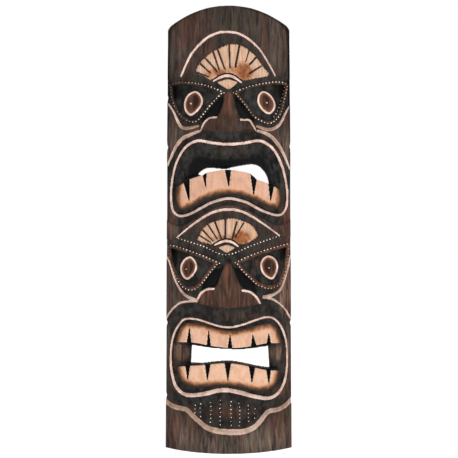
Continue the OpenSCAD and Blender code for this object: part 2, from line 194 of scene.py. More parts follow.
def drawn(points, closed=False, steps=4):
    # smooth curve through the points
    p = np.array(points, float)
    if len(p) < 3:
        return p
    ring = np.vstack([p[-1], p, p[0], p[1]]) if closed else np.vstack([p[0], p, p[-1]])
    t = np.linspace(0, 1, steps, endpoint=False)[:, None]
    parts = [0.5 * (2 * b + (c - a) * t + (2 * a - 5 * b + 4 * c - d) * t * t
                    + (3 * b - a - 3 * c + d) * t ** 3)
             for a, b, c, d in zip(ring, ring[1:], ring[2:], ring[3:])]
    return np.vstack(parts + [p[0] if closed else p[-1]])


farAway = 40.0


def measure(line, reach=farAway):
    # for every grid point: its distance from the line, whether the line encloses it,
    # and how far along the line its nearest point lies, from 0 to 1
    low, high = line.min(0) - reach, line.max(0) + reach
    near = (gridX > low[0]) & (gridX < high[0]) & (gridZ > low[1]) & (gridZ < high[1])
    x, z = gridX[near], gridZ[near]
    best = np.full(x.shape, reach ** 2)
    within = np.zeros(x.shape, bool)
    place = np.zeros(x.shape)
    walked = 0
    for (ax, az), (bx, bz) in zip(line[:-1], line[1:]):
        ex, ez = bx - ax, bz - az
        length = math.hypot(ex, ez)
        t = np.clip(((x - ax) * ex + (z - az) * ez) / max(length ** 2, 1e-9), 0, 1)
        gap = (x - ax - t * ex) ** 2 + (z - az - t * ez) ** 2
        place = np.where(gap < best, walked + t * length, place)
        best = np.minimum(best, gap)
        walked += length
        if ez:
            within ^= ((az <= z) != (bz <= z)) & (x < ax + ex * (z - az) / ez)
    far = np.full(gridX.shape, reach)
    inside = np.zeros(gridX.shape, bool)
    along = np.zeros(gridX.shape)
    far[near] = np.sqrt(best)
    inside[near] = within
    along[near] = place / walked
    return far, inside, along


def depthInside(line, reach=farAway):
    # how far inside a closed outline each grid point lies; negative outside it
    far, inside, along = measure(line, reach)
    return np.where(inside, far, -far)


def joined(*curves):
    # one closed outline from open curves laid end to end
    line = np.vstack([drawn(c) for c in curves])
    return np.vstack([line, line[0]])


# the two faces, drawn from the front: x to the right, z up, with the widths of their lines

upperFace = {
    "brow": [(-108, 848), (-90, 886), (-74, 907), (-49, 929), (-26, 939), (-9, 941), (18, 939), (44, 927),
             (70, 904), (89, 876), (105, 849)],
    "browWide": [2.4, 3.2, 3.3, 3.0, 2.8, 2.4, 1.8],
    "fan": [(-73, 855), (-66, 873), (-50, 888), (-32, 900), (-14, 908), (4, 914), (26, 912), (46, 901),
            (63, 886), (76, 868), (90, 849), (66, 841), (34, 834), (0, 838), (-30, 834), (-46, 838),
            (-60, 846)],
    # from the fan's edge to its inner end, with the widths there
    "fanCuts": [(-75, 855, -45, 842, 3.0, 1.8), (-64, 873, -42, 851, 3.2, 2.2),
                (-55, 887, -26, 854, 3.2, 2.4), (-36, 901, -22, 859, 3.6, 2.2),
                (-25, 903, -9, 859, 3.8, 2.2), (1, 914, 3, 861, 3.2, 2.2), (24, 912, 15, 864, 3.4, 3.8),
                (46, 903, 38, 875, 2.2, 0.8), (61, 886, 47, 870, 3.4, 3.0), (72, 867, 47, 850, 2.6, 3.6)],
    "hub": [(-34, 832), (-19, 840), (-3, 844), (12, 840), (28, 829)],
    "hubWide": [2.6, 4.8, 5.4, 4.8, 2.4],
    "bead": [(-25, 829), (-14, 833), (-2, 836), (10, 833), (19, 829), (9, 819), (-1, 814), (-13, 820)],
    # brown marks: place, half width, half height, strength
    "scorch": [(35, 853, 18, 18, 1.8), (-24, 851, 30, 10, 1.1), (6, 856, 22, 9, 0.85),
               (58, 846, 22, 7, 0.45), (1, 819, 10, 7, 0.45), (-46, 846, 16, 8, 0.7)],
    "ridges": [{"top": [(-10, 808), (-45, 823), (-80, 832), (-117, 837), (-135, 833)],
                "low": [(-135, 833), (-132, 800), (-119, 769), (-104, 751), (-84, 741), (-66, 746),
                        (-40, 777), (-10, 808)], "wide": 6.5, "ruddy": 0.25},
               {"top": [(10, 808), (43, 821), (79, 831), (112, 837), (138, 835)],
                "low": [(138, 835), (130, 800), (120, 764), (105, 745), (90, 738), (72, 743), (55, 753),
                        (38, 775), (10, 808)], "wide": 7.0, "ruddy": 0.4}],
    "eyes": [[(-74, 812), (-61, 801), (-58, 785), (-68, 768), (-85, 757), (-98, 768), (-101, 787),
              (-92, 805)],
             [(77, 812), (92, 807), (104, 792), (105, 775), (93, 761), (77, 767), (66, 782), (66, 801)]],
    "cheeks": [[(-152, 801), (-139, 789), (-126, 770), (-116, 747), (-106, 732), (-90, 729), (-69, 733)],
               [(152, 797), (139, 783), (128, 763), (117, 741), (102, 729), (86, 726), (64, 732)]],
    "cheekWide": [2.2, 2.6, 3.4, 6.0, 7.0, 4.5],
    "jowls": [[(-67, 721), (-87, 714), (-107, 705), (-122, 686), (-134, 661), (-149, 632)],
              [(65, 722), (83, 717), (98, 709), (113, 693), (127, 669), (138, 644), (149, 630)]],
    "jowlWide": [4.0, 6.2, 6.5, 4.6, 3.4, 2.8], "bandGrey": 0.85,      # of the lines' broad ends
    "browEnds": [(124, 846), (155, 838), (-155, 838), (-124, 846)],
    "lip": [(65, 731), (0, 712), (-67, 731)],
    "nose": [(-8, 806), (-13, 781), (-20, 762), (-29, 750), (-45, 749), (-56, 741), (-64, 723),
             (-35, 719), (0, 717), (35, 720), (64, 723), (55, 740), (45, 748), (30, 748), (16, 774),
             (7, 806)],
    "nostrils": [[(-28, 752), (-45, 750), (-56, 738), (-63, 722)],
                 [(28, 746), (45, 746), (54, 735), (61, 723)]],
    "nostrilWide": [4.2, 4.0, 3.0, 2.4],
    "noseDark": 0.78, "noseRuddy": 0.3,
    "muzzleLow": [(155, 600), (155, 545), (135, 516), (105, 510), (70, 528), (35, 547), (0, 554),
                  (-35, 547), (-70, 527), (-105, 508), (-135, 514), (-155, 545), (-155, 600)],
    "muzzleTop": [(-35, 719), (0, 716), (35, 719)],
    "mouth": [(-69, 700), (-35, 694), (0, 691), (35, 694), (67, 700), (90, 692), (107, 675), (120, 649),
              (129, 619), (134, 589), (133, 557), (125, 539), (112, 533), (92, 537), (67, 547), (38, 562),
              (0, 570), (-35, 562), (-60, 550), (-84, 537), (-107, 531), (-122, 537), (-130, 552),
              (-132, 590), (-124, 638), (-112, 667), (-95, 689)],
    "mouthWide": [4.2, 4.4, 4.4, 3.4, 3.4, 4.6, 5.0, 4.6, 3.6, 3.0, 4.2],
    # rows of teeth: how much painted shade darkens them, how much further the char and its painted shade
    # reach, the wedges between them and their widths
    "teeth": [{"toothShade": 0.8, "shift": 2.0,
               "bite": [(-122, 597), (-102, 606), (-89, 614), (-60, 623), (-52, 629), (-30, 633),
                        (-8, 635), (6, 635), (30, 631), (50, 626), (62, 616), (78, 610), (92, 605),
                        (104, 598), (122, 588)],
               "gum": [(122, 588), (121, 563), (110, 547), (87, 552), (55, 566), (31, 574), (0, 578),
                       (-25, 575), (-55, 566), (-84, 550), (-104, 542), (-117, 549), (-123, 568),
                       (-122, 597)],
               "gaps": [(-96, 612, -90, 567, 14), (-55, 629, -52, 598, 9), (-2, 639, 0, 598, 14),
                        (57, 625, 56, 580, 15), (97, 606, 95, 567, 13)]}],
    "hole": [[(-70, 626), (-64, 633), (-50, 640), (-30, 640), (-8, 638), (9, 642), (35, 647), (53, 649),
              (67, 646), (79, 636), (88, 621), (92, 604)],
             [(92, 604), (78, 609), (64, 614), (50, 626), (30, 631), (4, 635), (-8, 635), (-30, 632),
              (-52, 628), (-60, 623), (-70, 626)]],
    "socketCorner": (132, 822), "glints": [(-85, 784, 0.45), (86, 786, 0.3)]}

lowerFace = {
    "brow": [(-118, 482), (-96, 500), (-72, 518), (-42, 536), (-16, 544), (9, 545), (31, 540), (55, 528),
             (87, 507), (115, 487)],
    "browWide": [1.6, 2.8, 3.8, 4.4, 4.4, 3.8, 2.8, 1.7],
    "fan": [(-69, 477), (-65, 489), (-58, 502), (-43, 514), (-26, 520), (-6, 524), (12, 525), (32, 519),
            (50, 511), (61, 497), (64, 484), (45, 472), (25, 467), (0, 470), (-25, 466), (-46, 469)],
    "fanCuts": [(-65, 487, -41, 472, 2.4, 1.8), (-58, 499, -35, 475, 2.8, 2.0),
                (-46, 511, -26, 480, 2.8, 2.0), (-31, 518, -15, 477, 3.2, 2.4),
                (-7, 525, -8, 477, 3.8, 2.8), (18, 517, 8, 481, 3.0, 3.0), (33, 515, 15, 484, 2.4, 1.6)],
    "hub": [(-31, 466), (-18, 472), (-6, 475), (8, 472), (21, 463)], "hubWide": [2.4, 4.6, 5.0, 4.6, 2.4],
    "bead": [(-22, 460), (-13, 464), (-4, 466), (4, 464), (13, 460), (4, 453), (-5, 449), (-14, 454)],
    "scorch": [(27, 482, 19, 14, 1.9), (-10, 481, 28, 9, 0.85), (-40, 478, 18, 8, 0.5),
               (-5, 453, 9, 5, 0.35)],
    "ridges": [{"top": [(-20, 427), (-64, 446), (-117, 463), (-141, 467)],
                "low": [(-141, 467), (-137, 430), (-129, 407), (-118, 386), (-102, 367), (-82, 363),
                        (-64, 373), (-40, 404), (-20, 427)], "wide": 8.5, "ruddy": 0.55},
               {"top": [(14, 428), (48, 444), (93, 459), (141, 471)],
                "low": [(141, 471), (137, 435), (131, 404), (122, 382), (110, 370), (93, 366), (75, 370),
                        (60, 378), (48, 390), (31, 406), (14, 428)], "wide": 8.5, "ruddy": 0.85}],
    "eyes": [[(-87, 440), (-75, 430), (-71, 415), (-79, 398), (-94, 387), (-106, 397), (-110, 415),
              (-102, 432)],
             [(85, 441), (101, 438), (111, 425), (111, 407), (101, 389), (88, 391), (74, 406),
              (72, 427)]],
    "cheeks": [[(-152, 446), (-139, 433), (-130, 409), (-120, 382), (-106, 360), (-93, 349), (-73, 341)],
               [(152, 456), (141, 438), (136, 414), (129, 391), (119, 366), (103, 354), (80, 348)]],
    "cheekWide": [2.2, 2.6, 3.0, 3.0, 4.2, 6.5],
    "jowls": [[(-73, 341), (-92, 338), (-108, 335), (-121, 326), (-133, 313), (-149, 288)],
              [(80, 348), (94, 345), (106, 339), (119, 329), (130, 317), (138, 303), (149, 288)]],
    "jowlWide": [6.0, 4.0, 3.0, 3.0, 3.0], "bandGrey": 0.45,
    "browEnds": [(130, 482), (155, 487), (-155, 480), (-130, 477)],
    "lip": [(74, 346), (0, 318), (-72, 344)],
    "nose": [(-7, 424), (-12, 415), (-19, 397), (-29, 372), (-47, 368), (-62, 359), (-72, 337),
             (-40, 329), (0, 324), (35, 328), (72, 335), (62, 350), (48, 361), (29, 371), (16, 397),
             (5, 424)],
    "nostrils": [[(-33, 368), (-49, 366), (-63, 356), (-72, 339)],
                 [(31, 364), (46, 361), (60, 351), (70, 335)]],
    "nostrilWide": [3.4, 4.0, 4.0, 3.6],
    "noseDark": 0.5, "noseRuddy": 0.45,
    "muzzleLow": [(149, 114), (130, 99), (112, 92), (93, 91), (82, 84), (72, 71), (58, 58), (38, 50),
                  (14, 48), (-6, 49), (-28, 51), (-48, 57), (-66, 69), (-79, 80), (-94, 93), (-106, 95),
                  (-130, 98), (-149, 110)],
    "muzzleTop": [(-40, 328), (0, 323), (40, 328)],
    "mouth": [(-107, 292), (-92, 299), (-69, 298), (-45, 291), (-20, 284), (4, 282), (33, 288), (57, 296),
              (79, 302), (97, 301), (110, 292), (122, 274), (131, 246), (134, 216), (133, 181),
              (127, 152), (115, 131), (99, 121), (82, 120), (53, 127), (28, 135), (0, 141), (-25, 140),
              (-45, 134), (-67, 129), (-92, 126), (-108, 131), (-122, 146), (-130, 172), (-133, 201),
              (-131, 236), (-124, 264)],
    "mouthWide": [3.2, 3.4, 3.6, 3.2, 2.6, 4.6, 6.6, 6.6, 5.4, 2.8, 3.2],
    "teeth": [{"toothShade": 0.35, "shift": -2.5,
               "gum": [(-122, 242), (-112, 274), (-98, 286), (-78, 289), (-55, 286), (-30, 278), (4, 273),
                       (33, 276), (67, 284), (92, 287), (108, 278), (117, 258), (121, 240)],
               "bite": [(121, 240), (87, 243), (57, 239), (31, 236), (4, 235), (-20, 237), (-45, 240),
                        (-69, 244), (-94, 245), (-122, 242)],
               "gaps": [(-90, 238, -89, 276, 11), (-45, 234, -45, 271, 9), (3, 229, 3, 263, 11),
                        (57, 233, 54, 263, 13), (91, 237, 91, 264, 10)]},
              {"toothShade": 0.0, "shift": 2.5,
               "bite": [(-122, 186), (-99, 190), (-69, 194), (-40, 198), (-6, 201), (23, 198), (53, 191),
                        (87, 182), (120, 178)],
               "gum": [(120, 178), (114, 154), (98, 138), (79, 133), (55, 136), (31, 142), (0, 148),
                       (-25, 148), (-55, 144), (-79, 143), (-98, 146), (-114, 159), (-122, 186)],
               "gaps": [(-93, 197, -93, 161, 11), (-47, 203, -48, 164, 13), (-2, 207, -2, 164, 15),
                        (53, 198, 52, 158, 15), (90, 190, 91, 153, 11)]}],
    "hole": [[(-84, 237), (-30, 233), (18, 231), (57, 232), (90, 234)],
             [(90, 234), (93, 184)],
             [(93, 184), (67, 189), (38, 196), (4, 202), (-30, 200), (-59, 196), (-86, 195)],
             [(-86, 195), (-84, 237)]],
    "socketCorner": (137, 455), "glints": [(-96, 411, 0.8), (91, 414, 0.6)]}

# stains rubbed in by hand, and in the black list painted shade as well: x, height, half width, half height,
# strength
stainsAndShade = {
    "ruddy": [(-108, 219, 17, 20, 0.85), (108, 217, 16, 19, 0.55), (-50, 900, 16, 22, 0.5),
              (-82, 874, 14, 14, 0.35), (-96, 968, 18, 40, 0.35), (82, 913, 7, 34, 0.5),
              (-76, 940, 12, 34, 0.45), (-132, 515, 12, 38, 0.6), (-60, 510, 26, 12, 0.25),
              (134, 520, 16, 46, 0.75), (138, 560, 9, 30, 0.5), (66, 424, 12, 7, 0.9),
              (134, 360, 14, 62, 0.95), (136, 190, 10, 58, 0.7), (118, 133, 14, 11, 0.9),
              (-122, 221, 6, 20, 0.5), (-128, 50, 18, 46, 0.5), (-84, 62, 13, 30, 0.55),
              (118, 55, 30, 46, 0.5), (0, 92, 46, 8, 0.55), (-12, 100, 16, 12, 0.3),
              (-134, 395, 8, 30, 0.3), (30, 305, 60, 6, 0.3), (10, 552, 60, 5, 0.25),
              (-134, 170, 10, 60, 0.35)],
    "worn": [(-129, 515, 12, 34, 0.45), (-138, 240, 7, 60, 0.5), (130, 352, 17, 46, 1.1),
             (-110, 905, 28, 60, 0.15), (116, 905, 24, 70, 0.15), (122, 650, 12, 50, 0.5),
             (-132, 700, 14, 24, 0.35), (128, 705, 16, 22, 0.45), (-125, 340, 20, 26, 0.3),
             (125, 345, 20, 30, 0.45), (-60, 30, 70, 34, 0.5), (70, 28, 70, 34, 0.55),
             (-122, 720, 14, 10, 0.4), (139, 245, 8, 60, 0.9), (-108, 219, 17, 20, 1.25),
             (108, 217, 16, 19, 1.3), (0, 672, 60, 12, 0.25), (30, 104, 40, 6, 0.3)],
    # black paint, and painted shade: the spots at the mouths' deep sides and corner pockets and the one
    # under the chin bevel's left end
    "blackAndShade": [(0, 985, 46, 26, 0.35), (104, 655, 14, 30, 1.2), (6, 20, 24, 15, 0.55),
              (-64, 903, 26, 30, 0.3), (66, 892, 16, 34, 0.3), (140, 128, 14, 12, 0.6),
              (-140, 128, 14, 14, 0.6), (-120, 846, 20, 12, 0.5), (124, 846, 20, 12, 0.5),
              (-128, 483, 22, 10, 0.6), (130, 490, 22, 10, 0.6), (-60, 58, 26, 6, 0.6),
              (102, 196, 12, 10, 1.0), (-104, 194, 20, 8, 1.0), (110, 622, 18, 36, 1.3),
              (-100, 622, 22, 14, 1.1), (92, 512, 40, 12, 0.4), (-90, 508, 40, 10, 0.35)]}

# depths and widths of the cuts
carving = {"field": 5.5, "ridge": 1.6, "ridgeRound": 1.0, "socket": 7.0, "corner": 8.0, "cornerWide": 30,
           "eye": 4.0, "eyeDome": 2.4, "eyeLine": 4.2, "eyeLineDeep": 1.2,
           "fan": 1.5, "cut": 2.8, "rayDrop": 40, "rayReach": 90,
           "nose": 0.3, "noseRound": 2.6, "noseEdge": 10.0, "wing": 2.0, "wingLine": 0.6, "noseSide": 8.0,
           "lineDeep": 1.3, "cheekLine": 0.8, "lipRise": 2.8, "scoop": 9.0, "scoopSlope": 0.36,
           "scoopMarks": 0.35, "leastWood": 5.0, "tooth": 6.0, "toothRound": 1.6, "gumDrop": 7.0,
           "gumWide": 20.0, "gap": 17.0, "pocket": 14.0, "blackEnough": 0.8,
           "chinLine": [8, 7.5, 8, 9, 10, 10.5, 10, 8.5, 8, 8.5, 8], "chinLineDeep": 0.9,
           "chinGrey": [0.8, 0.7, 0.6, 0.5, 0.5, 0.55, 0.7, 0.85, 0.9, 0.75],
           "creaseHigh": 94, "creaseWide": 2.2, "creaseDeep": 1.2}

sunk = np.zeros(gridX.shape)                      # how deep the front is cut
tones = {name: np.full(gridX.shape, -farAway) for name in ("line", "tooth", "gum", "fan", "iris")}
tones.update({name: np.zeros(gridX.shape) for name in ("blackAndShade", "ruddy", "worn", "scorchAndShade", "grey")})
holes = []


def sinkTo(level, share):
    global sunk
    sunk = sunk + (level - sunk) * share


def paint(name, value):
    tones[name] = np.maximum(tones[name], value)


def paleLine(points, widths, closed=False, deep=carving["lineDeep"], grey=None):
    # a shallow groove down to the pale wood, its width changing along it
    global sunk
    far, _, along = measure(drawn(points, closed), 14)
    wide = np.interp(along, np.linspace(0, 1, len(widths)), widths)
    ragged = 0.16 * wander(gridX, gridZ, 30, 34) + 0.05 * wander(gridX, gridZ, 12, 12)
    sunk = sunk + deep * np.clip(1 - (far / (wide / 2 + 0.6)) ** 2, 0, 1)
    paint("line", wide / 2 + ragged - far)
    if grey:
        strength = np.interp(along, np.linspace(0, 1, len(grey)), grey)
        paint("grey", strength * slope(-far, -wide / 2 - 2, -wide / 2))


def carveFields(face):
    # sunk fields from the brow to the cheeks and from the jowls down
    ends = face["browEnds"]
    left, right = face["cheeks"]
    field = depthInside(joined(face["brow"], ends[:2], right, face["lip"], left[::-1], ends[2:]))
    jowlLeft, jowlRight = face["jowls"]
    muzzle = depthInside(joined(jowlRight, face["muzzleLow"], jowlLeft[::-1], face["muzzleTop"]))
    sinkTo(carving["field"], slope(field, -1.5, 3.5))
    sinkTo(carving["field"], slope(muzzle, -1.5, 4))
    bridgeHigh = face["ridges"][0]["top"][0][1]
    overBrow = slope(gridZ, bridgeHigh + 10, bridgeHigh + 40)
    blackened = np.maximum(slope(field, -1, 2) * (1 - 0.45 * overBrow), slope(muzzle, -1, 2))
    paint("blackAndShade", carving["blackEnough"] * blackened)
    return field


def carveEyes(face):
    # ridges round the eyes, their sockets and the eyes in them
    c = carving
    onRidge = np.full(gridX.shape, -farAway)
    cornerX, cornerZ = face["socketCorner"]
    corner = np.exp(-(((abs(gridX) - cornerX) ** 2 + (gridZ - cornerZ) ** 2) / c["cornerWide"] ** 2))
    for ridge, eye in zip(face["ridges"], face["eyes"]):
        wide = ridge["wide"]
        inRidge = depthInside(joined(ridge["top"], ridge["low"]))
        onRidge = np.maximum(onRidge, inRidge)
        crest = c["ridge"] + c["ridgeRound"] * np.clip(abs(inRidge - wide / 2) / (wide / 2), 0, 1.5) ** 2
        sinkTo(crest, slope(inRidge, -1.5, 1.5))
        sinkTo(c["socket"] + c["corner"] * corner, slope(inRidge, wide - 1.5, wide + 3))
        inEye = depthInside(drawn(eye, True))
        sinkTo(c["eye"] - c["eyeDome"] * np.clip(inEye / 20, 0, 1) ** 0.7, slope(inEye, -4, 1))
        rim = abs(inEye - c["eyeLine"] / 2)
        sinkTo(c["eye"] + c["eyeLineDeep"], 0.8 * slope(-rim, -c["eyeLine"] / 2, 0))
        paint("line", c["eyeLine"] / 2 + 0.22 * wander(gridX, gridZ, 22, 22) - rim)
        paint("iris", inEye - c["eyeLine"])
        onBand = slope(inRidge, -0.5, 1.5) * slope(-inRidge, -wide - 1, -wide + 2)
        tones["blackAndShade"] = tones["blackAndShade"] * (1 - 0.55 * ridge["ruddy"] * onBand)
        paint("ruddy", ridge["ruddy"] * onBand * (0.8 + 0.35 * wander(gridX, gridZ, 22, 22)))
        # black paint in the sockets, darkened further as painted shade in their deep outer corners
        paint("blackAndShade", slope(inRidge, wide - 2, wide + 1) * (0.86 + 0.4 * corner))
    return onRidge


def carveNose(face, field, onRidge):
    # a rounded nose between hollows cut beside its bridge
    c = carving
    nose = depthInside(drawn(face["nose"], True))
    top, foot = max(p[1] for p in face["nose"]), min(p[1] for p in face["nose"])
    bridge = slope(gridZ, foot + 22, foot + 34) * slope(-gridZ, -top - 2, -top + 14)
    beside = slope(field, 0, 3) * slope(-onRidge, -0.5, 3) * slope(-nose, 0, 3) * bridge
    beside = beside * slope(-abs(gridX), -66, -58)
    sinkTo(c["field"] + c["noseSide"], beside)
    # black paint in the hollows beside the bridge, pushed darker as painted shade
    paint("blackAndShade", 1.25 * beside)
    shoulder = (1 - np.clip(nose / c["noseEdge"], 0, 1)) ** 2
    wings = c["wing"] * slope(abs(gridX), 17, 30) + 0.0006 * gridX ** 2
    sinkTo(c["nose"] + c["noseRound"] * shoulder + wings, slope(nose, -1.2, 2.2))
    onNose = slope(nose, -1, 1.5)
    # a painted highlight along the bridge's crest: less black and more ruddy there
    crest = slope(-abs(gridX + 2), -14, -3) * slope(gridZ, foot + 30, foot + 55)
    tones["blackAndShade"] = tones["blackAndShade"] * (1 - onNose) + onNose * face["noseDark"] * (1 - 0.75 * crest)
    paint("ruddy", onNose * (face["noseRuddy"] * (1 - crest) + 0.9 * crest))
    for wing in face["nostrils"]:
        paleLine(wing, face["nostrilWide"], deep=c["wingLine"])


def carveFan(face):
    # fan over the nose, the cuts between its rays, the arc below it and the bead
    c = carving
    hubX, hubZ = face["hub"][2]
    bearing = np.arctan2(gridX - hubX, gridZ - hubZ + c["rayDrop"])
    strokes = wander(bearing * c["rayReach"], np.hypot(gridX - hubX, gridZ - hubZ), 5, 90)
    fan = depthInside(drawn(face["fan"], True)) + 0.6 * wander(gridX, gridZ, 8, 8) + 1.1 * strokes
    sinkTo(c["fan"], slope(fan, -1.5, 1.5))
    for outX, outZ, inX, inZ, outWide, inWide in face["fanCuts"]:
        far, _, along = measure(np.array([(outX, outZ), (inX, inZ)], float), 8)
        cut = (outWide + (inWide - outWide) * along) / 2 - far
        sinkTo(c["fan"] + c["cut"], slope(cut, -0.6, 0.6))
        fan = np.minimum(fan, -cut)
    far, _, along = measure(drawn(face["hub"]), 20)
    hub = np.interp(along, np.linspace(0, 1, len(face["hubWide"])), face["hubWide"]) / 2 - far
    bead = depthInside(drawn(face["bead"], True))
    gap = slope(hub, -3.2, -2.4) * slope(-hub, -0.5, 0.5)
    hubFoot = np.interp(gridX, [p[0] for p in face["hub"]], [p[1] for p in face["hub"]], left=0, right=0)
    below = slope(hubFoot - gridZ, -2, 0)
    fan = fan - farAway * np.maximum(gap, below)
    sinkTo(c["field"], np.maximum(gap, below * slope(fan, -60, -30) * slope(-far, -18, -14)))
    sinkTo(c["fan"] - 0.8 * slope(bead, 0, 8), slope(bead, -1, 1))
    sinkTo(c["fan"] - 0.4, slope(hub, -0.7, 0.7))
    paint("fan", np.maximum(fan, bead))
    paint("line", hub)
    # painted shade in the cuts between the rays and along the fan's edge
    paint("blackAndShade", 0.9 * slope(-fan, 0, 4) * slope(fan, -7, -1))
    for x, z, wide, tall, strength in face["scorch"]:
        spot = np.exp(-((gridX - x) / wide) ** 2 - ((gridZ - z) / tall) ** 2)
        paint("scorchAndShade", strength * spot * (0.85 + 0.3 * wander(gridX, gridZ, 14, 14)))


def carveMouth(face):
    # lips, the hollow behind them and the rows of teeth
    global sunk
    c = carving
    mouth = depthInside(drawn(face["mouth"], True))
    sinkTo(c["field"] - c["lipRise"], slope(mouth, -12, -4) * slope(-mouth, -1, 1))
    thickness = backY - frontAt(gridX, 0)
    deepest = thickness - c["leastWood"]
    scoop = np.minimum(c["scoop"] + c["scoopSlope"] * np.clip(mouth, 0, 60), deepest)
    sinkTo(scoop, slope(mouth, 1.5, 4))
    sunk = sunk + c["scoopMarks"] * wander(gridX, gridZ, 130, 13) * slope(mouth, 3, 9)
    # black paint inside the mouth, darker as painted shade where the hollow is deeper
    paint("blackAndShade", slope(mouth, 0, 3) * (0.72 + 0.6 * slope(scoop, 12, 26)))
    paleLine(face["mouth"], face["mouthWide"], closed=True)
    for row in face["teeth"]:
        teeth = depthInside(joined(row["bite"], row["gum"]))
        fromGum = measure(drawn(row["gum"]))[0]
        sinkTo(np.minimum(c["pocket"], deepest), slope(teeth, -9, -4) * slope(mouth, 3, 7))
        body = teeth
        for topX, topZ, tipX, tipZ, wide in row["gaps"]:
            left, right = (topX - wide / 2, topZ), (topX + wide / 2, topZ)
            gap = depthInside(np.array([left, right, (tipX, tipZ), left], float), 20) + 0.5
            sinkTo(np.minimum(c["gap"], deepest), slope(gap, -0.7, 0.7) * slope(teeth, -1, 0))
            # painted shade in the gaps between the teeth
            paint("blackAndShade", 1.2 * slope(gap, -0.7, 0.7))
            body = np.minimum(body, -gap)
        rounded = c["toothRound"] * (1 - np.clip(body / 5, 0, 1)) ** 2
        drop = c["gumDrop"] * (1 - np.clip(fromGum / c["gumWide"], 0, 1)) ** 2
        sinkTo(c["tooth"] + rounded + drop, slope(body, -0.8, 0.8))
        paint("gum", np.where(teeth > -3, c["gumWide"] + row["shift"] - fromGum, -farAway))
        paint("tooth", body)
        # painted shade over the teeth, each row by its own share
        paint("scorchAndShade", row["toothShade"] * slope(body, -1, 0))
    holes.append(joined(*face["hole"]))


def carveFace(face):
    field = carveFields(face)
    onRidge = carveEyes(face)
    carveNose(face, field, onRidge)
    carveFan(face)
    paleLine(face["brow"], face["browWide"])
    band = face["bandGrey"]
    for cheek in face["cheeks"]:
        paleLine(cheek, face["cheekWide"], deep=carving["cheekLine"], grey=[0, 0, 0.1, band, band])
    for jowl in face["jowls"]:
        greyed = [0.6 * band, band, 0.7 * band, 0.2, 0.1]
        paleLine(jowl, face["jowlWide"], deep=carving["cheekLine"], grey=greyed)
    carveMouth(face)


carveFace(upperFace)
carveFace(lowerFace)
paleLine(lowerFace["muzzleLow"], carving["chinLine"], deep=carving["chinLineDeep"],
         grey=carving["chinGrey"])
# painted shadow in a band under the chin line
underChin = [(x, z - 9) for x, z in lowerFace["muzzleLow"] if abs(x) < 120]
shade = measure(drawn(underChin), 20)[0]
paint("blackAndShade", 0.6 * slope(-shade, -6, -2) * np.clip(0.8 + 0.3 * wander(gridX, gridZ, 40, 30), 0, 1.1))
for tintKind, spots in stainsAndShade.items():
    for x, z, wide, tall, strength in spots:
        spot = np.exp(-(((gridX - x) / wide) ** 2 + ((gridZ - z) / tall) ** 2) ** 1.5)
        spot = spot * np.clip(0.85 + 0.35 * wander(gridX, gridZ, 13, 60), 0, 1.3)
        if tintKind != "blackAndShade":
            tones["blackAndShade"] = tones["blackAndShade"] * (1 - 0.78 * strength * spot)
        paint(tintKind, strength * spot)
print("faces carved")

# the board's edges, its tool marks and its mesh

sideAway = halfWide - abs(gridX)
edgeAway = np.minimum(sideAway, np.minimum(archAt - gridZ, gridZ))
rounding = slab["edgeRound"]
lost = np.clip(rounding - edgeAway, 0, rounding)
sunk = sunk + 0.7 * (rounding - np.sqrt(rounding ** 2 - lost ** 2))
sunk = sunk + 0.3 * wander(gridX, gridZ, 26, 300) + 0.25 * wander(gridX, gridZ, 60, 90)
# a crease across the chin
crease = np.exp(-((gridZ - carving["creaseHigh"] - 3 * np.sin(gridX / 17)) / carving["creaseWide"]) ** 2)
sunk = sunk + carving["creaseDeep"] * crease * slope(-abs(gridX), -76, -60)
sunk = np.clip(sunk, 0, backY - frontAt(gridX, 0) - slab["thinnest"])
frontY = frontAt(gridX, sunk)

drift = gridX / slab["gougeWide"] + 0.35 * wander(gridX, gridZ, 160, 220)
strokes = gridZ / slab["gougeLong"] + 0.37 * np.floor(drift)
trough = 1 - (2 * (drift % 1) - 1) ** 2
gouged = slab["gougeDeep"] * trough * (0.55 + 0.45 * (strokes % 1)) + 0.3 * wander(gridX, gridZ, 60, 90)
backShape = backY - np.clip(gouged, 0, 2.5) * slope(edgeAway, 0, 10)


def sheetOf(title, y, painted):
    # a grid of the front or the back, with the values of the stains and the painted shade on its points
    pick()
    bpy.ops.mesh.primitive_grid_add(x_subdivisions=across, y_subdivisions=rowsUp, size=1)
    sheet = bpy.context.object
    sheet.name = title
    places = np.stack([meshX, y, meshZ], axis=-1).reshape(-1) * mm
    sheet.data.vertices.foreach_set("co", places.astype(np.float32))
    border = np.ones(gridX.shape)
    border[1:-1, 1:-1] = 0
    unpainted = {name: np.full(gridX.shape, min(value.min(), 0)) for name, value in tones.items()}
    bare = np.full(gridX.shape, 0.0 if painted else 1.0)
    values = dict(tones if painted else unpainted, bare=bare, border=border)
    for name, value in values.items():
        layer = sheet.data.attributes.new(name, "FLOAT", "POINT")
        layer.data.foreach_set("value", value.reshape(-1).astype(np.float32))
    return sheet


def cutHoles(sheet):
    # deletes the faces that lie within the mouths' openings
    mesh = sheet.data
    corners = np.zeros(len(mesh.polygons) * 4, np.int32)
    mesh.polygons.foreach_get("vertices", corners)
    gone = missing.reshape(-1)[corners.reshape(-1, 4)].all(1)
    pick(sheet)
    bpy.ops.object.mode_set(mode="EDIT")
    bpy.ops.mesh.select_mode(type="FACE")
    bpy.ops.mesh.select_all(action="DESELECT")
    bpy.ops.object.mode_set(mode="OBJECT")
    mesh.polygons.foreach_set("select", gone)
    bpy.ops.object.mode_set(mode="EDIT")
    bpy.ops.mesh.delete(type="FACE")
    bpy.ops.object.mode_set(mode="OBJECT")


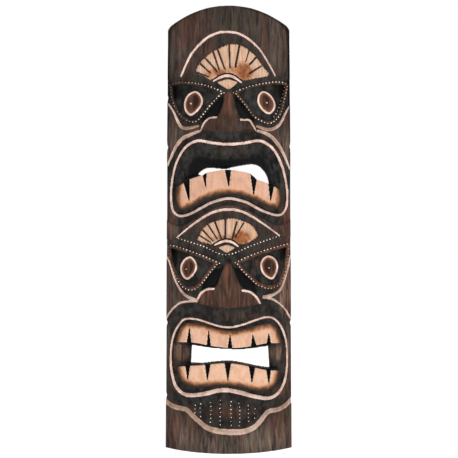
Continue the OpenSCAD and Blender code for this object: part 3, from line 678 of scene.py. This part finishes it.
def toOutline(outline, inside):
    # moves the grid points along a hole's rim onto its outline
    rim = inside.copy()
    rim[1:-1, 1:-1] &= ~(inside[:-2, 1:-1] & inside[2:, 1:-1] & inside[1:-1, :-2] & inside[1:-1, 2:]
                         & inside[:-2, :-2] & inside[2:, 2:] & inside[:-2, 2:] & inside[2:, :-2])
    x, z = gridX[rim], gridZ[rim]
    best = np.full(x.shape, np.inf)
    onX, onZ = x.copy(), z.copy()
    for (ax, az), (bx, bz) in zip(outline[:-1], outline[1:]):
        ex, ez = bx - ax, bz - az
        t = np.clip(((x - ax) * ex + (z - az) * ez) / max(ex * ex + ez * ez, 1e-9), 0, 1)
        gap = (x - ax - t * ex) ** 2 + (z - az - t * ez) ** 2
        onX = np.where(gap < best, ax + t * ex, onX)
        onZ = np.where(gap < best, az + t * ez, onZ)
        best = np.minimum(best, gap)
    meshX[rim], meshZ[rim] = onX, onZ


meshX, meshZ = gridX.copy(), gridZ.copy()
missing = np.zeros(gridX.shape, bool)
for outline in holes:
    inside = measure(outline, 3)[1]
    missing |= inside
    toOutline(outline, inside)
halfway = (frontY + backY) / 2                    # both sheets meet there inside the holes
frontSheet = sheetOf("carvedBoard", np.where(missing, halfway, frontY), True)
backSheet = sheetOf("backSheet", np.where(missing, halfway, backShape), False)
cutHoles(frontSheet)
cutHoles(backSheet)
pick(backSheet)
bpy.ops.object.mode_set(mode="EDIT")
bpy.ops.mesh.select_all(action="SELECT")
bpy.ops.mesh.flip_normals()
bpy.ops.object.mode_set(mode="OBJECT")
pick(backSheet, frontSheet)
bpy.ops.object.join()
board = frontSheet
bpy.ops.object.mode_set(mode="EDIT")
bpy.ops.mesh.select_all(action="SELECT")
bpy.ops.mesh.remove_doubles(threshold=0.00001)
bpy.ops.mesh.delete_loose()
bpy.ops.mesh.select_all(action="DESELECT")
bpy.ops.mesh.select_mode(type="EDGE")
bpy.ops.mesh.select_non_manifold(extend=False, use_wire=False, use_multi_face=False,
                                 use_non_contiguous=False, use_verts=False)
bpy.ops.object.mode_set(mode="OBJECT")
onBorder = np.zeros(len(board.data.vertices), np.float32)
board.data.attributes["border"].data.foreach_get("value", onBorder)
chosen = np.zeros(len(board.data.edges), bool)
board.data.edges.foreach_get("select", chosen)
ends = np.zeros(len(board.data.edges) * 2, np.int32)
board.data.edges.foreach_get("vertices", ends)
atBorder = (onBorder[ends.reshape(-1, 2)] > 0.5).all(1)
board.data.edges.foreach_set("select", chosen & atBorder)
bpy.ops.object.mode_set(mode="EDIT")
bpy.ops.mesh.bridge_edge_loops(number_cuts=slab["sideCuts"])
bpy.ops.mesh.select_all(action="SELECT")
bpy.ops.mesh.normals_make_consistent(inside=False)
bpy.ops.object.mode_set(mode="OBJECT")
print("board closed,", len(board.data.polygons), "faces")

spare = board.vertex_groups.new(name="spare")     # away from the edges of the stains
held = np.zeros(len(board.data.vertices), np.float32)
away = np.ones(len(held), bool)
for tintKind in ("line", "tooth", "fan", "iris"):
    board.data.attributes[tintKind].data.foreach_get("value", held)
    away &= abs(held) > slab["keepNear"]
board.data.attributes["bare"].data.foreach_get("value", held)
spare.add(np.flatnonzero(away | (held > 0.5)).tolist(), 1.0, "REPLACE")
thin = board.modifiers.new("thin", "DECIMATE")
thin.vertex_group = spare.name
thin.ratio = slab["faces"] / (2 * len(board.data.polygons))
bpy.ops.object.modifier_apply(modifier=thin.name)
print("board thinned,", len(board.data.polygons), "faces")


def gridPlace(x, z):
    # the row and the column, with their fractions, where a point lies on the grid
    arch = archHeight(np.clip(x, -slab["halfShoulder"], slab["halfShoulder"]))
    lift = (arch - slab["top"]) / (slab["top"] - slab["archFrom"])
    flat = np.where(z > slab["archFrom"], (z + slab["archFrom"] * lift) / (1 + lift), z)
    row = np.clip(flat / slab["top"], 0, 1) * rowsUp
    nearest = np.round(row).astype(int)
    half = np.where(x < 0, halfWide[nearest, 0], halfWide[nearest, -1])
    column = (np.clip(x / half, -1, 1) + 1) / 2 * across
    return row, column


def sample(values, row, column):
    # a grid's value between its points
    r, c = np.clip(row.astype(int), 0, rowsUp - 1), np.clip(column.astype(int), 0, across - 1)
    up, right = row - r, column - c
    low = values[r, c] * (1 - right) + values[r, c + 1] * right
    high = values[r + 1, c] * (1 - right) + values[r + 1, c + 1] * right
    return low * (1 - up) + high * up


def settle(piece):
    # thinning lets points drift, so each is set on the surface again with the stain and painted shade found
    # there
    mesh = piece.data
    spots = np.zeros(len(mesh.vertices) * 3, np.float32)
    mesh.vertices.foreach_get("co", spots)
    x, y, z = spots.astype(float).reshape(-1, 3).T / mm
    bare = np.zeros(len(x), np.float32)
    mesh.attributes["bare"].data.foreach_get("value", bare)
    row, column = gridPlace(x, z)
    front, back = sample(frontY, row, column), sample(backShape, row, column)
    clear = sample(nearHole, row, column) == 0
    onFront, onBack = clear & (bare < 0.02), clear & (bare > 0.98)
    x = np.clip(x, -slab["halfFoot"], slab["halfFoot"])
    y = np.clip(np.where(onFront, front, np.where(onBack, back, y)), slab["front"], slab["back"])
    z = np.clip(z, 0, slab["top"])
    mesh.vertices.foreach_set("co", (np.stack([x, y, z], axis=1) * mm).reshape(-1).astype(np.float32))
    for name, value in tones.items():
        layer = mesh.attributes[name].data
        held = np.zeros(len(x), np.float32)
        layer.foreach_get("value", held)
        layer.foreach_set("value", np.where(onFront, sample(value, row, column), held).astype(np.float32))
    mesh.update()


nearHole = missing.astype(float)
for shift in (-2, -1, 1, 2):
    nearHole = np.maximum(nearHole, np.maximum(np.roll(missing, shift, 0), np.roll(missing, shift, 1)))
settle(board)
bpy.ops.object.shade_smooth_by_angle(angle=math.radians(50))
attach(board, "plaque")
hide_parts("carved_board")

# painted dots: small drops of thick paint

drops = {"round": 1.5, "proud": 0.75, "step": 7.5, "inset": 1.8, "lift": 0.1, "uneven": 0.00012,
         "sides": 8, "rings": 5, "sizes": (0.72, 1.15), "stretch": (0.85, 1.15),
         "chinSize": 0.82, "chinStep": 8.6, "glintSize": 1.3}

# rows of drops with how fresh the paint is along each, from 0, rubbed away, to 1
dotRows = {
    "upperLeftEyeDots": ("upper_left_eye_dots", [
        (upperFace["ridges"][0], "top", [1.0, 0.95, 0.6, 0.4, 0.25, 0.2]),
        (upperFace["ridges"][0], "low", [0.2, 0.15, 0.25, 0.3, 0.35, 0.8, 1.0, 0.95, 0.9])]),
    "upperRightEyeDots": ("upper_right_eye_dots", [
        (upperFace["ridges"][1], "top", [0.6, 0.7, 0.75, 0.9, 0.85, 0.4]),
        (upperFace["ridges"][1], "low", [0.35, 0.4, 0.5, 0.55, 0.7, 0.85, 0.45, 0.5, 0.6, 0.5]),
        ([(128, 826), (121, 798), (112, 772), (103, 756)], None, [0.45, 0.4, 0.5])]),
    "lowerLeftEyeDots": ("lower_left_eye_dots", [
        (lowerFace["ridges"][0], "top", [1.0, 0.9, 0.95, 0.9, 0.6, 0.3]),
        (lowerFace["ridges"][0], "low", [0.15, 0.2, 0.35, 0.5, 0.85, 0.45, 0.6, 0.9, 1.0])]),
    "lowerRightEyeDots": ("lower_right_eye_dots", [
        (lowerFace["ridges"][1], "top", [1.0, 1.0, 0.9, 0.8, 0.8, 0.5]),
        (lowerFace["ridges"][1], "low", [0.3, 0.35, 0.4, 0.45, 0.5, 0.6, 0.8, 1.0, 0.9])]),
    "browBarDots": ("brow_bar_dots", [
        ([(-114, 480), (-60, 464), (-6, 444), (55, 466), (115, 486)], None,
         [0.8, 0.75, 0.9, 0.7, 1.0, 0.85, 0.8, 0.95, 0.8])])}
chinRows = [(-76, 105, 88), (-63, 109, 71), (-40, 113, 69), (-19, 119, 64), (5, 116, 63), (24, 112, 62),
            (44, 106, 71), (59, 98, 77)]


def evenly(line, step):
    # points an even step apart along a line, and how far along each lies
    lengths = np.concatenate([[0], np.cumsum(np.hypot(*np.diff(line, axis=0).T))])
    count = int(lengths[-1] // step)
    share = np.linspace(0, 1, count + 1)
    x, z = (np.interp(share * lengths[-1], lengths, line[:, axis]) for axis in (0, 1))
    return list(zip(x, z, share))


def insetLine(ridge, part):
    # a ridge's edge moved in towards its middle
    line = drawn(ridge[part], steps=6)
    middle = np.array(ridge["top"] + ridge["low"], float).mean(0)
    heading = np.gradient(line, axis=0)
    normal = np.stack([-heading[:, 1], heading[:, 0]], 1) / np.hypot(*heading.T)[:, None]
    inward = np.sign(((middle - line) * normal).sum(1))[:, None]
    return line + drops["inset"] * inward * normal


def rowSpots(rows):
    spots = []
    for source, part, fresh in rows:
        line = insetLine(source, part) if part else drawn(source, steps=6)
        found = evenly(line, drops["step"])
        if part == "low":
            found = found[1:-1]
        spots += [(x, z, np.interp(s, np.linspace(0, 1, len(fresh)), fresh), 1.0) for x, z, s in found]
    return spots


def surfaceAt(x, z):
    row, column = gridPlace(np.array([x]), np.array([z]))
    return sample(frontY, row, column)[0]


def laySpots(name, node, spots):
    # one low dome for each spot, squashed onto the bowed front
    pick()
    freshness = []
    for number, (x, z, fresh, size) in enumerate(spots):
        wide = drops["round"] * size * rng.uniform(*drops["sizes"]) * mm
        shape = (1, rng.uniform(*drops["stretch"]), drops["proud"] / drops["round"])
        bpy.ops.mesh.primitive_uv_sphere_add(
            segments=drops["sides"], ring_count=drops["rings"], radius=wide, scale=shape,
            location=(x * mm, (surfaceAt(x, z) + drops["lift"]) * mm, z * mm),
            rotation=(math.pi / 2, 0, math.asin(x / bowRadius)))
        if number == 0:
            piece = bpy.context.object
            piece.name = name
            bpy.ops.object.transform_apply(location=True, rotation=True, scale=True)
            bpy.ops.object.mode_set(mode="EDIT")
        freshness.append(np.clip(fresh + rng.normal(0, 0.12), 0, 1))
    bpy.ops.mesh.select_all(action="SELECT")
    bpy.ops.transform.vertex_random(offset=drops["uneven"], seed=3)
    bpy.ops.mesh.normals_make_consistent(inside=False)
    bpy.ops.object.mode_set(mode="OBJECT")
    layer = piece.data.attributes.new("fresh", "FLOAT", "POINT")
    each = len(piece.data.vertices) // len(spots)
    layer.data.foreach_set("value", np.repeat(np.array(freshness, np.float32), each))
    bpy.ops.object.shade_smooth()
    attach(piece, "plaque")
    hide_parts(node)
    return piece


dotPieces = [laySpots(name, node, rowSpots(rows)) for name, (node, rows) in dotRows.items()]
chinSpots = []
for x, high, low in chinRows:
    for z in np.linspace(high, low, round((high - low) / drops["chinStep"]) + 1):
        chinSpots.append((x + rng.normal(0, 0.6), z, rng.uniform(0.6, 1.0), drops["chinSize"]))
dotPieces.append(laySpots("chinDots", "chin_dots", chinSpots))
glints = [(x, z, fresh, drops["glintSize"]) for x, z, fresh in upperFace["glints"] + lowerFace["glints"]]
dotPieces.append(laySpots("eyeGlints", "eye_glints", glints))
print("dots painted,", len(dotPieces), "groups")

# materials


def startMaterial(name):
    material = bpy.data.materials.new(name)
    material.use_nodes = True
    return material, material.node_tree, material.node_tree.nodes["Principled BSDF"]


def feed(tree, socket, value):
    # links a socket, or sets a number or a colour
    if isinstance(value, bpy.types.NodeSocket):
        tree.links.new(value, socket)
    elif isinstance(value, (int, float)):
        socket.default_value = value
    else:
        socket.default_value = (*value, 1)


def mixColour(tree, share, first, second, blend="MIX"):
    node = tree.nodes.new("ShaderNodeMix")
    node.data_type = "RGBA"
    node.blend_type = blend
    for name, value in (("Factor_Float", share), ("A_Color", first), ("B_Color", second)):
        feed(tree, next(s for s in node.inputs if s.identifier == name), value)
    return next(s for s in node.outputs if s.identifier == "Result_Color")


def maths(tree, kind, first, second, clamp=False):
    node = tree.nodes.new("ShaderNodeMath")
    node.operation = kind
    node.use_clamp = clamp
    feed(tree, node.inputs[0], first)
    feed(tree, node.inputs[1], second)
    return node.outputs[0]


def plus(tree, first, second):
    return maths(tree, "ADD", first, second)


def times(tree, first, second, clamp=False):
    return maths(tree, "MULTIPLY", first, second, clamp)


def spread(tree, value, fromLow, fromHigh, toLow=0.0, toHigh=1.0):
    # a soft step from one range to another
    node = tree.nodes.new("ShaderNodeMapRange")
    node.interpolation_type = "SMOOTHSTEP"
    for name, number in (("Value", value), ("From Min", fromLow), ("From Max", fromHigh),
                         ("To Min", toLow), ("To Max", toHigh)):
        feed(tree, node.inputs[name], number)
    return node.outputs["Result"]


def between(tree, value, low, high, pair):
    # from the first colour of a pair to the second as the value goes from low to high
    return mixColour(tree, spread(tree, value, low, high), *pair)


def tone(tree, name):
    node = tree.nodes.new("ShaderNodeAttribute")
    node.attribute_name = name
    return node.outputs["Fac"]


def noiseOn(tree, scale, detail, rough, shift=(0, 0, 0), warp=0.0):
    where = tree.nodes.new("ShaderNodeTexCoord")
    mapping = tree.nodes.new("ShaderNodeMapping")
    tree.links.new(where.outputs["Object"], mapping.inputs["Vector"])
    mapping.inputs["Scale"].default_value = scale
    mapping.inputs["Location"].default_value = shift
    node = tree.nodes.new("ShaderNodeTexNoise")
    tree.links.new(mapping.outputs["Vector"], node.inputs["Vector"])
    node.inputs["Scale"].default_value = 1.0
    node.inputs["Detail"].default_value = detail
    node.inputs["Roughness"].default_value = rough
    node.inputs["Distortion"].default_value = warp
    return node.outputs["Fac"]


def rampOf(tree, value, stops):
    node = tree.nodes.new("ShaderNodeValToRGB")
    ramp = node.color_ramp
    for number, (place, colour) in enumerate(stops):
        stop = ramp.elements[number] if number < 2 else ramp.elements.new(place)
        stop.position = place
        stop.color = (*colour, 1)
    tree.links.new(value, node.inputs["Fac"])
    return node.outputs["Color"]


# pairs are the darkest and the palest of each stain and of the painted shade; the gum's colours go from
# teeth to lip
woodLook = {"tintKind": ((0.014, 0.009, 0.008), (0.073, 0.051, 0.042)),
            "thin": (0.115, 0.083, 0.066), "red": (0.078, 0.030, 0.023), "olive": (0.056, 0.050, 0.031),
            "worn": ((0.060, 0.046, 0.038), (0.290, 0.215, 0.165)),
            # black paint, also used for painted shade; the deepest colour is painted shade for the deepest
            # hollows
            "blackAndShade": ((0.006, 0.006, 0.006), (0.030, 0.029, 0.026)), "deep": (0.004, 0.004, 0.004),
            "ruddy": ((0.026, 0.011, 0.008), (0.185, 0.076, 0.043)),
            "iris": ((0.020, 0.010, 0.008), (0.075, 0.032, 0.021)), "irisRim": (0.21, 0.078, 0.036),
            "fan": ((0.38, 0.225, 0.140), (0.56, 0.380, 0.278)), "fanWarm": (0.50, 0.28, 0.155),
            "scorch": ((0.120, 0.037, 0.015), (0.34, 0.130, 0.046)),
            "tooth": ((0.53, 0.300, 0.190), (0.71, 0.455, 0.330)), "toothWarm": (0.60, 0.34, 0.20),
            # the teeth's multiplying colour is painted shade; their edge colour is a painted highlight
            "toothShade": (0.80, 0.75, 0.76), "toothEdgeHighlight": (0.76, 0.56, 0.43),
            # the gum ramp: charred wood, its dark end painted shade where the teeth drop into the pocket
            "gum": [(0.0, (0.60, 0.37, 0.25)), (0.28, (0.50, 0.26, 0.145)), (0.52, (0.30, 0.130, 0.062)),
                    (0.78, (0.105, 0.052, 0.032)), (1.0, (0.036, 0.026, 0.021))],
            "lineEdge": (0.045, 0.018, 0.013), "line": ((0.48, 0.320, 0.262), (0.74, 0.555, 0.475)),
            "greyLine": ((0.19, 0.118, 0.080), (0.37, 0.243, 0.165)),
            "bare": ((0.085, 0.048, 0.030), (0.230, 0.145, 0.092)),
            "rough": (0.40, 0.60), "specular": 0.05, "bump": 0.55, "bumpHeight": 0.0008}

# noises stretched along the grain: scale, detail, roughness, shift, warp
woodNoise = {"streak": ((95, 95, 12), 5, 0.68, (0, 0, 0), 1.1), "fibre": ((520, 520, 26), 3, 0.55),
             "patch": ((24, 24, 9), 3, 0.55), "hue": ((75, 75, 11), 3, 0.55, (3, 1, 7)),
             "speck": ((330, 330, 330), 2, 0.55), "mottle": ((70, 70, 50), 4, 0.6, (9, 2, 5))}


def woodGrain(tree):
    # the noises, and the figure that most stains follow
    grain = {name: noiseOn(tree, *values) for name, values in woodNoise.items()}
    figure = plus(tree, times(tree, grain["streak"], 0.6), times(tree, grain["fibre"], 0.2))
    grain["figure"] = plus(tree, figure, times(tree, grain["patch"], 0.2))
    return grain


def darkStainAndShade(tree, grain):
    # brown stain with red and olive streaks, then worn, blackened and ruddy places over it; the blackened
    # places are black paint and painted shade, darkest in the deepest hollows
    look, figure, hue = woodLook, grain["figure"], grain["hue"]
    colour = between(tree, figure, 0.36, 0.66, look["tintKind"])
    colour = mixColour(tree, spread(tree, grain["fibre"], 0.56, 0.74, 0, 0.5), colour, look["thin"])
    colour = mixColour(tree, spread(tree, hue, 0.53, 0.68, 0, 0.7), colour, look["red"])
    colour = mixColour(tree, spread(tree, hue, 0.46, 0.33, 0, 0.6), colour, look["olive"])
    wornHere = times(tree, tone(tree, "worn"), spread(tree, grain["streak"], 0.3, 0.6, 0.35, 1))
    colour = mixColour(tree, wornHere, colour, between(tree, figure, 0.38, 0.64, look["worn"]))
    dark = between(tree, grain["mottle"], 0.34, 0.68, look["blackAndShade"])
    # painted shade: a still darker colour where the black tone passes 0.9, in the deepest hollows
    dark = mixColour(tree, spread(tree, tone(tree, "blackAndShade"), 0.9, 1.25), dark, look["deep"])
    colour = mixColour(tree, times(tree, tone(tree, "blackAndShade"), 1.15, True), colour, dark)
    ruddyHere = times(tree, tone(tree, "ruddy"), spread(tree, hue, 0.3, 0.5, 0.7, 1))
    return mixColour(tree, ruddyHere, colour, between(tree, figure, 0.38, 0.66, look["ruddy"]))


def overIrises(tree, grain, colour):
    # warmer towards the rim
    fromRim = tone(tree, "iris")
    iris = between(tree, grain["hue"], 0.4, 0.62, woodLook["iris"])
    iris = mixColour(tree, spread(tree, fromRim, 6.5, 0.5, 0, 0.6), iris, woodLook["irisRim"])
    return mixColour(tree, spread(tree, fromRim, -0.4, 0.6), colour, iris)


def overFans(tree, grain, colour):
    # pale wood, scorched in places
    mottle = grain["mottle"]
    fan = between(tree, grain["fibre"], 0.30, 0.70, woodLook["fan"])
    fan = mixColour(tree, spread(tree, mottle, 0.48, 0.66, 0, 0.6), fan, woodLook["fanWarm"])
    scorchAndShade = plus(tree, tone(tree, "scorchAndShade"), spread(tree, mottle, 0.35, 0.65, -0.09, 0.09))
    scorch = between(tree, mottle, 0.3, 0.7, woodLook["scorch"])
    fan = mixColour(tree, spread(tree, scorchAndShade, 0.10, 0.85), fan, scorch)
    return mixColour(tree, spread(tree, tone(tree, "fan"), -0.6, 0.6), colour, fan)


def overTeeth(tree, grain, colour):
    # a painted highlight along the cut edges, painted shade over them, and charred towards the gums, the
    # darkest end painted shade
    look, mottle, fromEdge = woodLook, grain["mottle"], tone(tree, "tooth")
    cloudy = plus(tree, times(tree, grain["figure"], 0.5), times(tree, mottle, 0.5))
    tooth = between(tree, cloudy, 0.36, 0.64, look["tooth"])
    tooth = mixColour(tree, spread(tree, mottle, 0.50, 0.68, 0, 0.5), tooth, look["toothWarm"])
    # painted shade that darkens the teeth, most on the upper face's row
    tooth = mixColour(tree, tone(tree, "scorchAndShade"), tooth, look["toothShade"], "MULTIPLY")
    # a painted highlight along the teeth's cut edges
    tooth = mixColour(tree, spread(tree, fromEdge, 2.6, 0.6, 0, 0.75), tooth, look["toothEdgeHighlight"])
    # charred wood towards the gums, its darkest end painted shade where the teeth drop into the pocket
    charAndShade = plus(tree, tone(tree, "gum"), spread(tree, mottle, 0.3, 0.7, -2.4, 2.4))
    charAndShade = spread(tree, charAndShade, 1, 21)
    tooth = mixColour(tree, spread(tree, charAndShade, 0.02, 0.3), tooth, rampOf(tree, charAndShade, look["gum"]))
    return mixColour(tree, spread(tree, fromEdge, -0.5, 0.5), colour, tooth)


def overLines(tree, grain, colour):
    # cream or greyed lines with a thin dark red edge
    look, mottle, fromEdge = woodLook, grain["mottle"], tone(tree, "line")
    colour = mixColour(tree, spread(tree, fromEdge, -1.5, -0.1, 0, 0.8), colour, look["lineEdge"])
    cream = between(tree, mottle, 0.32, 0.66, look["line"])
    greyed = between(tree, mottle, 0.32, 0.66, look["greyLine"])
    cream = mixColour(tree, tone(tree, "grey"), cream, greyed)
    return mixColour(tree, spread(tree, fromEdge, -0.4, 0.5), colour, cream)


def overBack(tree, grain, colour):
    bare = between(tree, grain["figure"], 0.36, 0.66, woodLook["bare"])
    return mixColour(tree, spread(tree, tone(tree, "bare"), 0.15, 0.9), colour, bare)


def carvedWood():
    material, tree, shader = startMaterial("carvedWood")
    grain = woodGrain(tree)
    colour = darkStainAndShade(tree, grain)
    for cover in (overIrises, overFans, overTeeth, overLines, overBack):
        colour = cover(tree, grain, colour)
    tree.links.new(colour, shader.inputs["Base Color"])
    rough = spread(tree, grain["figure"], 0.3, 0.7, *woodLook["rough"])
    tree.links.new(rough, shader.inputs["Roughness"])
    shader.inputs["Specular IOR Level"].default_value = woodLook["specular"]
    bump = tree.nodes.new("ShaderNodeBump")
    bump.inputs["Strength"].default_value = woodLook["bump"]
    bump.inputs["Distance"].default_value = woodLook["bumpHeight"]
    relief = plus(tree, grain["streak"], times(tree, grain["fibre"], 0.5))
    relief = plus(tree, relief, times(tree, grain["speck"], 0.15))
    tree.links.new(relief, bump.inputs["Height"])
    tree.links.new(bump.outputs["Normal"], shader.inputs["Normal"])
    return material


def patinaGroup():
    # blotches, specks and a surface normal that the paint and the metals share
    group = bpy.data.node_groups.new("patina", "ShaderNodeTree")
    sockets = group.interface
    for name, start in (("Blotch Scale", 300.0), ("Speck Scale", 1500.0), ("Bump Height", 0.0001)):
        socket = sockets.new_socket(name=name, in_out="INPUT", socket_type="NodeSocketFloat")
        socket.default_value = start
    for name, kind in (("Blotch", "Float"), ("Speck", "Float"), ("Normal", "Vector")):
        sockets.new_socket(name=name, in_out="OUTPUT", socket_type="NodeSocket" + kind)
    entry = group.nodes.new("NodeGroupInput")
    leave = group.nodes.new("NodeGroupOutput")
    where = group.nodes.new("ShaderNodeTexCoord")
    masks = []
    for scale, low, high in (("Blotch Scale", 0.4, 0.62), ("Speck Scale", 0.5, 0.7)):
        noise = group.nodes.new("ShaderNodeTexNoise")
        noise.inputs["Detail"].default_value = 3
        group.links.new(where.outputs["Object"], noise.inputs["Vector"])
        group.links.new(entry.outputs[scale], noise.inputs["Scale"])
        masks.append(spread(group, noise.outputs["Fac"], low, high))
    bump = group.nodes.new("ShaderNodeBump")
    group.links.new(entry.outputs["Bump Height"], bump.inputs["Distance"])
    group.links.new(plus(group, *masks), bump.inputs["Height"])
    group.links.new(masks[0], leave.inputs["Blotch"])
    group.links.new(masks[1], leave.inputs["Speck"])
    group.links.new(bump.outputs["Normal"], leave.inputs["Normal"])
    return group


patina = patinaGroup()


def addPatina(tree, shader, blotch, speck, height):
    node = tree.nodes.new("ShaderNodeGroup")
    node.node_tree = patina
    node.inputs["Blotch Scale"].default_value = blotch
    node.inputs["Speck Scale"].default_value = speck
    node.inputs["Bump Height"].default_value = height
    tree.links.new(node.outputs["Normal"], shader.inputs["Normal"])
    return node.outputs["Blotch"], node.outputs["Speck"]


dotLook = {"paint": (0.86, 0.78, 0.68), "aged": (0.62, 0.42, 0.26), "rubbed": (0.20, 0.088, 0.048),
           "rough": (0.42, 0.6), "patina": (420, 1800, 0.0001)}


def dotPaint():
    # cream where fresh, brown where rubbed away
    look = dotLook
    material, tree, shader = startMaterial("dotPaint")
    blotch, speck = addPatina(tree, shader, *look["patina"])
    fresh = plus(tree, tone(tree, "fresh"), spread(tree, blotch, 0, 1, -0.12, 0.12))
    colour = between(tree, fresh, 0.1, 0.55, (look["rubbed"], look["aged"]))
    colour = mixColour(tree, spread(tree, fresh, 0.45, 0.85), colour, look["paint"])
    colour = mixColour(tree, times(tree, speck, 0.25), colour, look["rubbed"])
    tree.links.new(colour, shader.inputs["Base Color"])
    tree.links.new(spread(tree, blotch, 0, 1, *look["rough"]), shader.inputs["Roughness"])
    return material


# bright metal, what dulls it, and how rough it is clean and dulled
metalLook = {"platedStrap": ((0.66, 0.52, 0.28), (0.26, 0.17, 0.08), 0.28, 0.55),
             "screwSteel": ((0.62, 0.60, 0.54), (0.24, 0.20, 0.15), 0.24, 0.5),
             "ringWire": ((0.68, 0.64, 0.55), (0.28, 0.23, 0.17), 0.22, 0.45)}
metalPatina = (260, 1400, 0.00005)
hangerFinish = {"hanger_strap": "platedStrap", "hanger_screws": "screwSteel", "hanger_ring": "ringWire"}


def metal(name):
    bright, dull, smooth, rough = metalLook[name]
    material, tree, shader = startMaterial(name)
    blotch, speck = addPatina(tree, shader, *metalPatina)
    dulled = times(tree, plus(tree, blotch, speck), 0.5, True)
    tree.links.new(mixColour(tree, dulled, bright, dull), shader.inputs["Base Color"])
    tree.links.new(spread(tree, dulled, 0, 1, smooth, rough), shader.inputs["Roughness"])
    shader.inputs["Metallic"].default_value = 1.0
    return material


def dress(piece, material):
    piece.data.materials.clear()
    piece.data.materials.append(material)


dress(board, carvedWood())
creamPaint = dotPaint()
for piece in dotPieces:
    dress(piece, creamPaint)
for node, finish in hangerFinish.items():
    dress(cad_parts[node], metal(finish))
print("wood stained, hanger dressed")
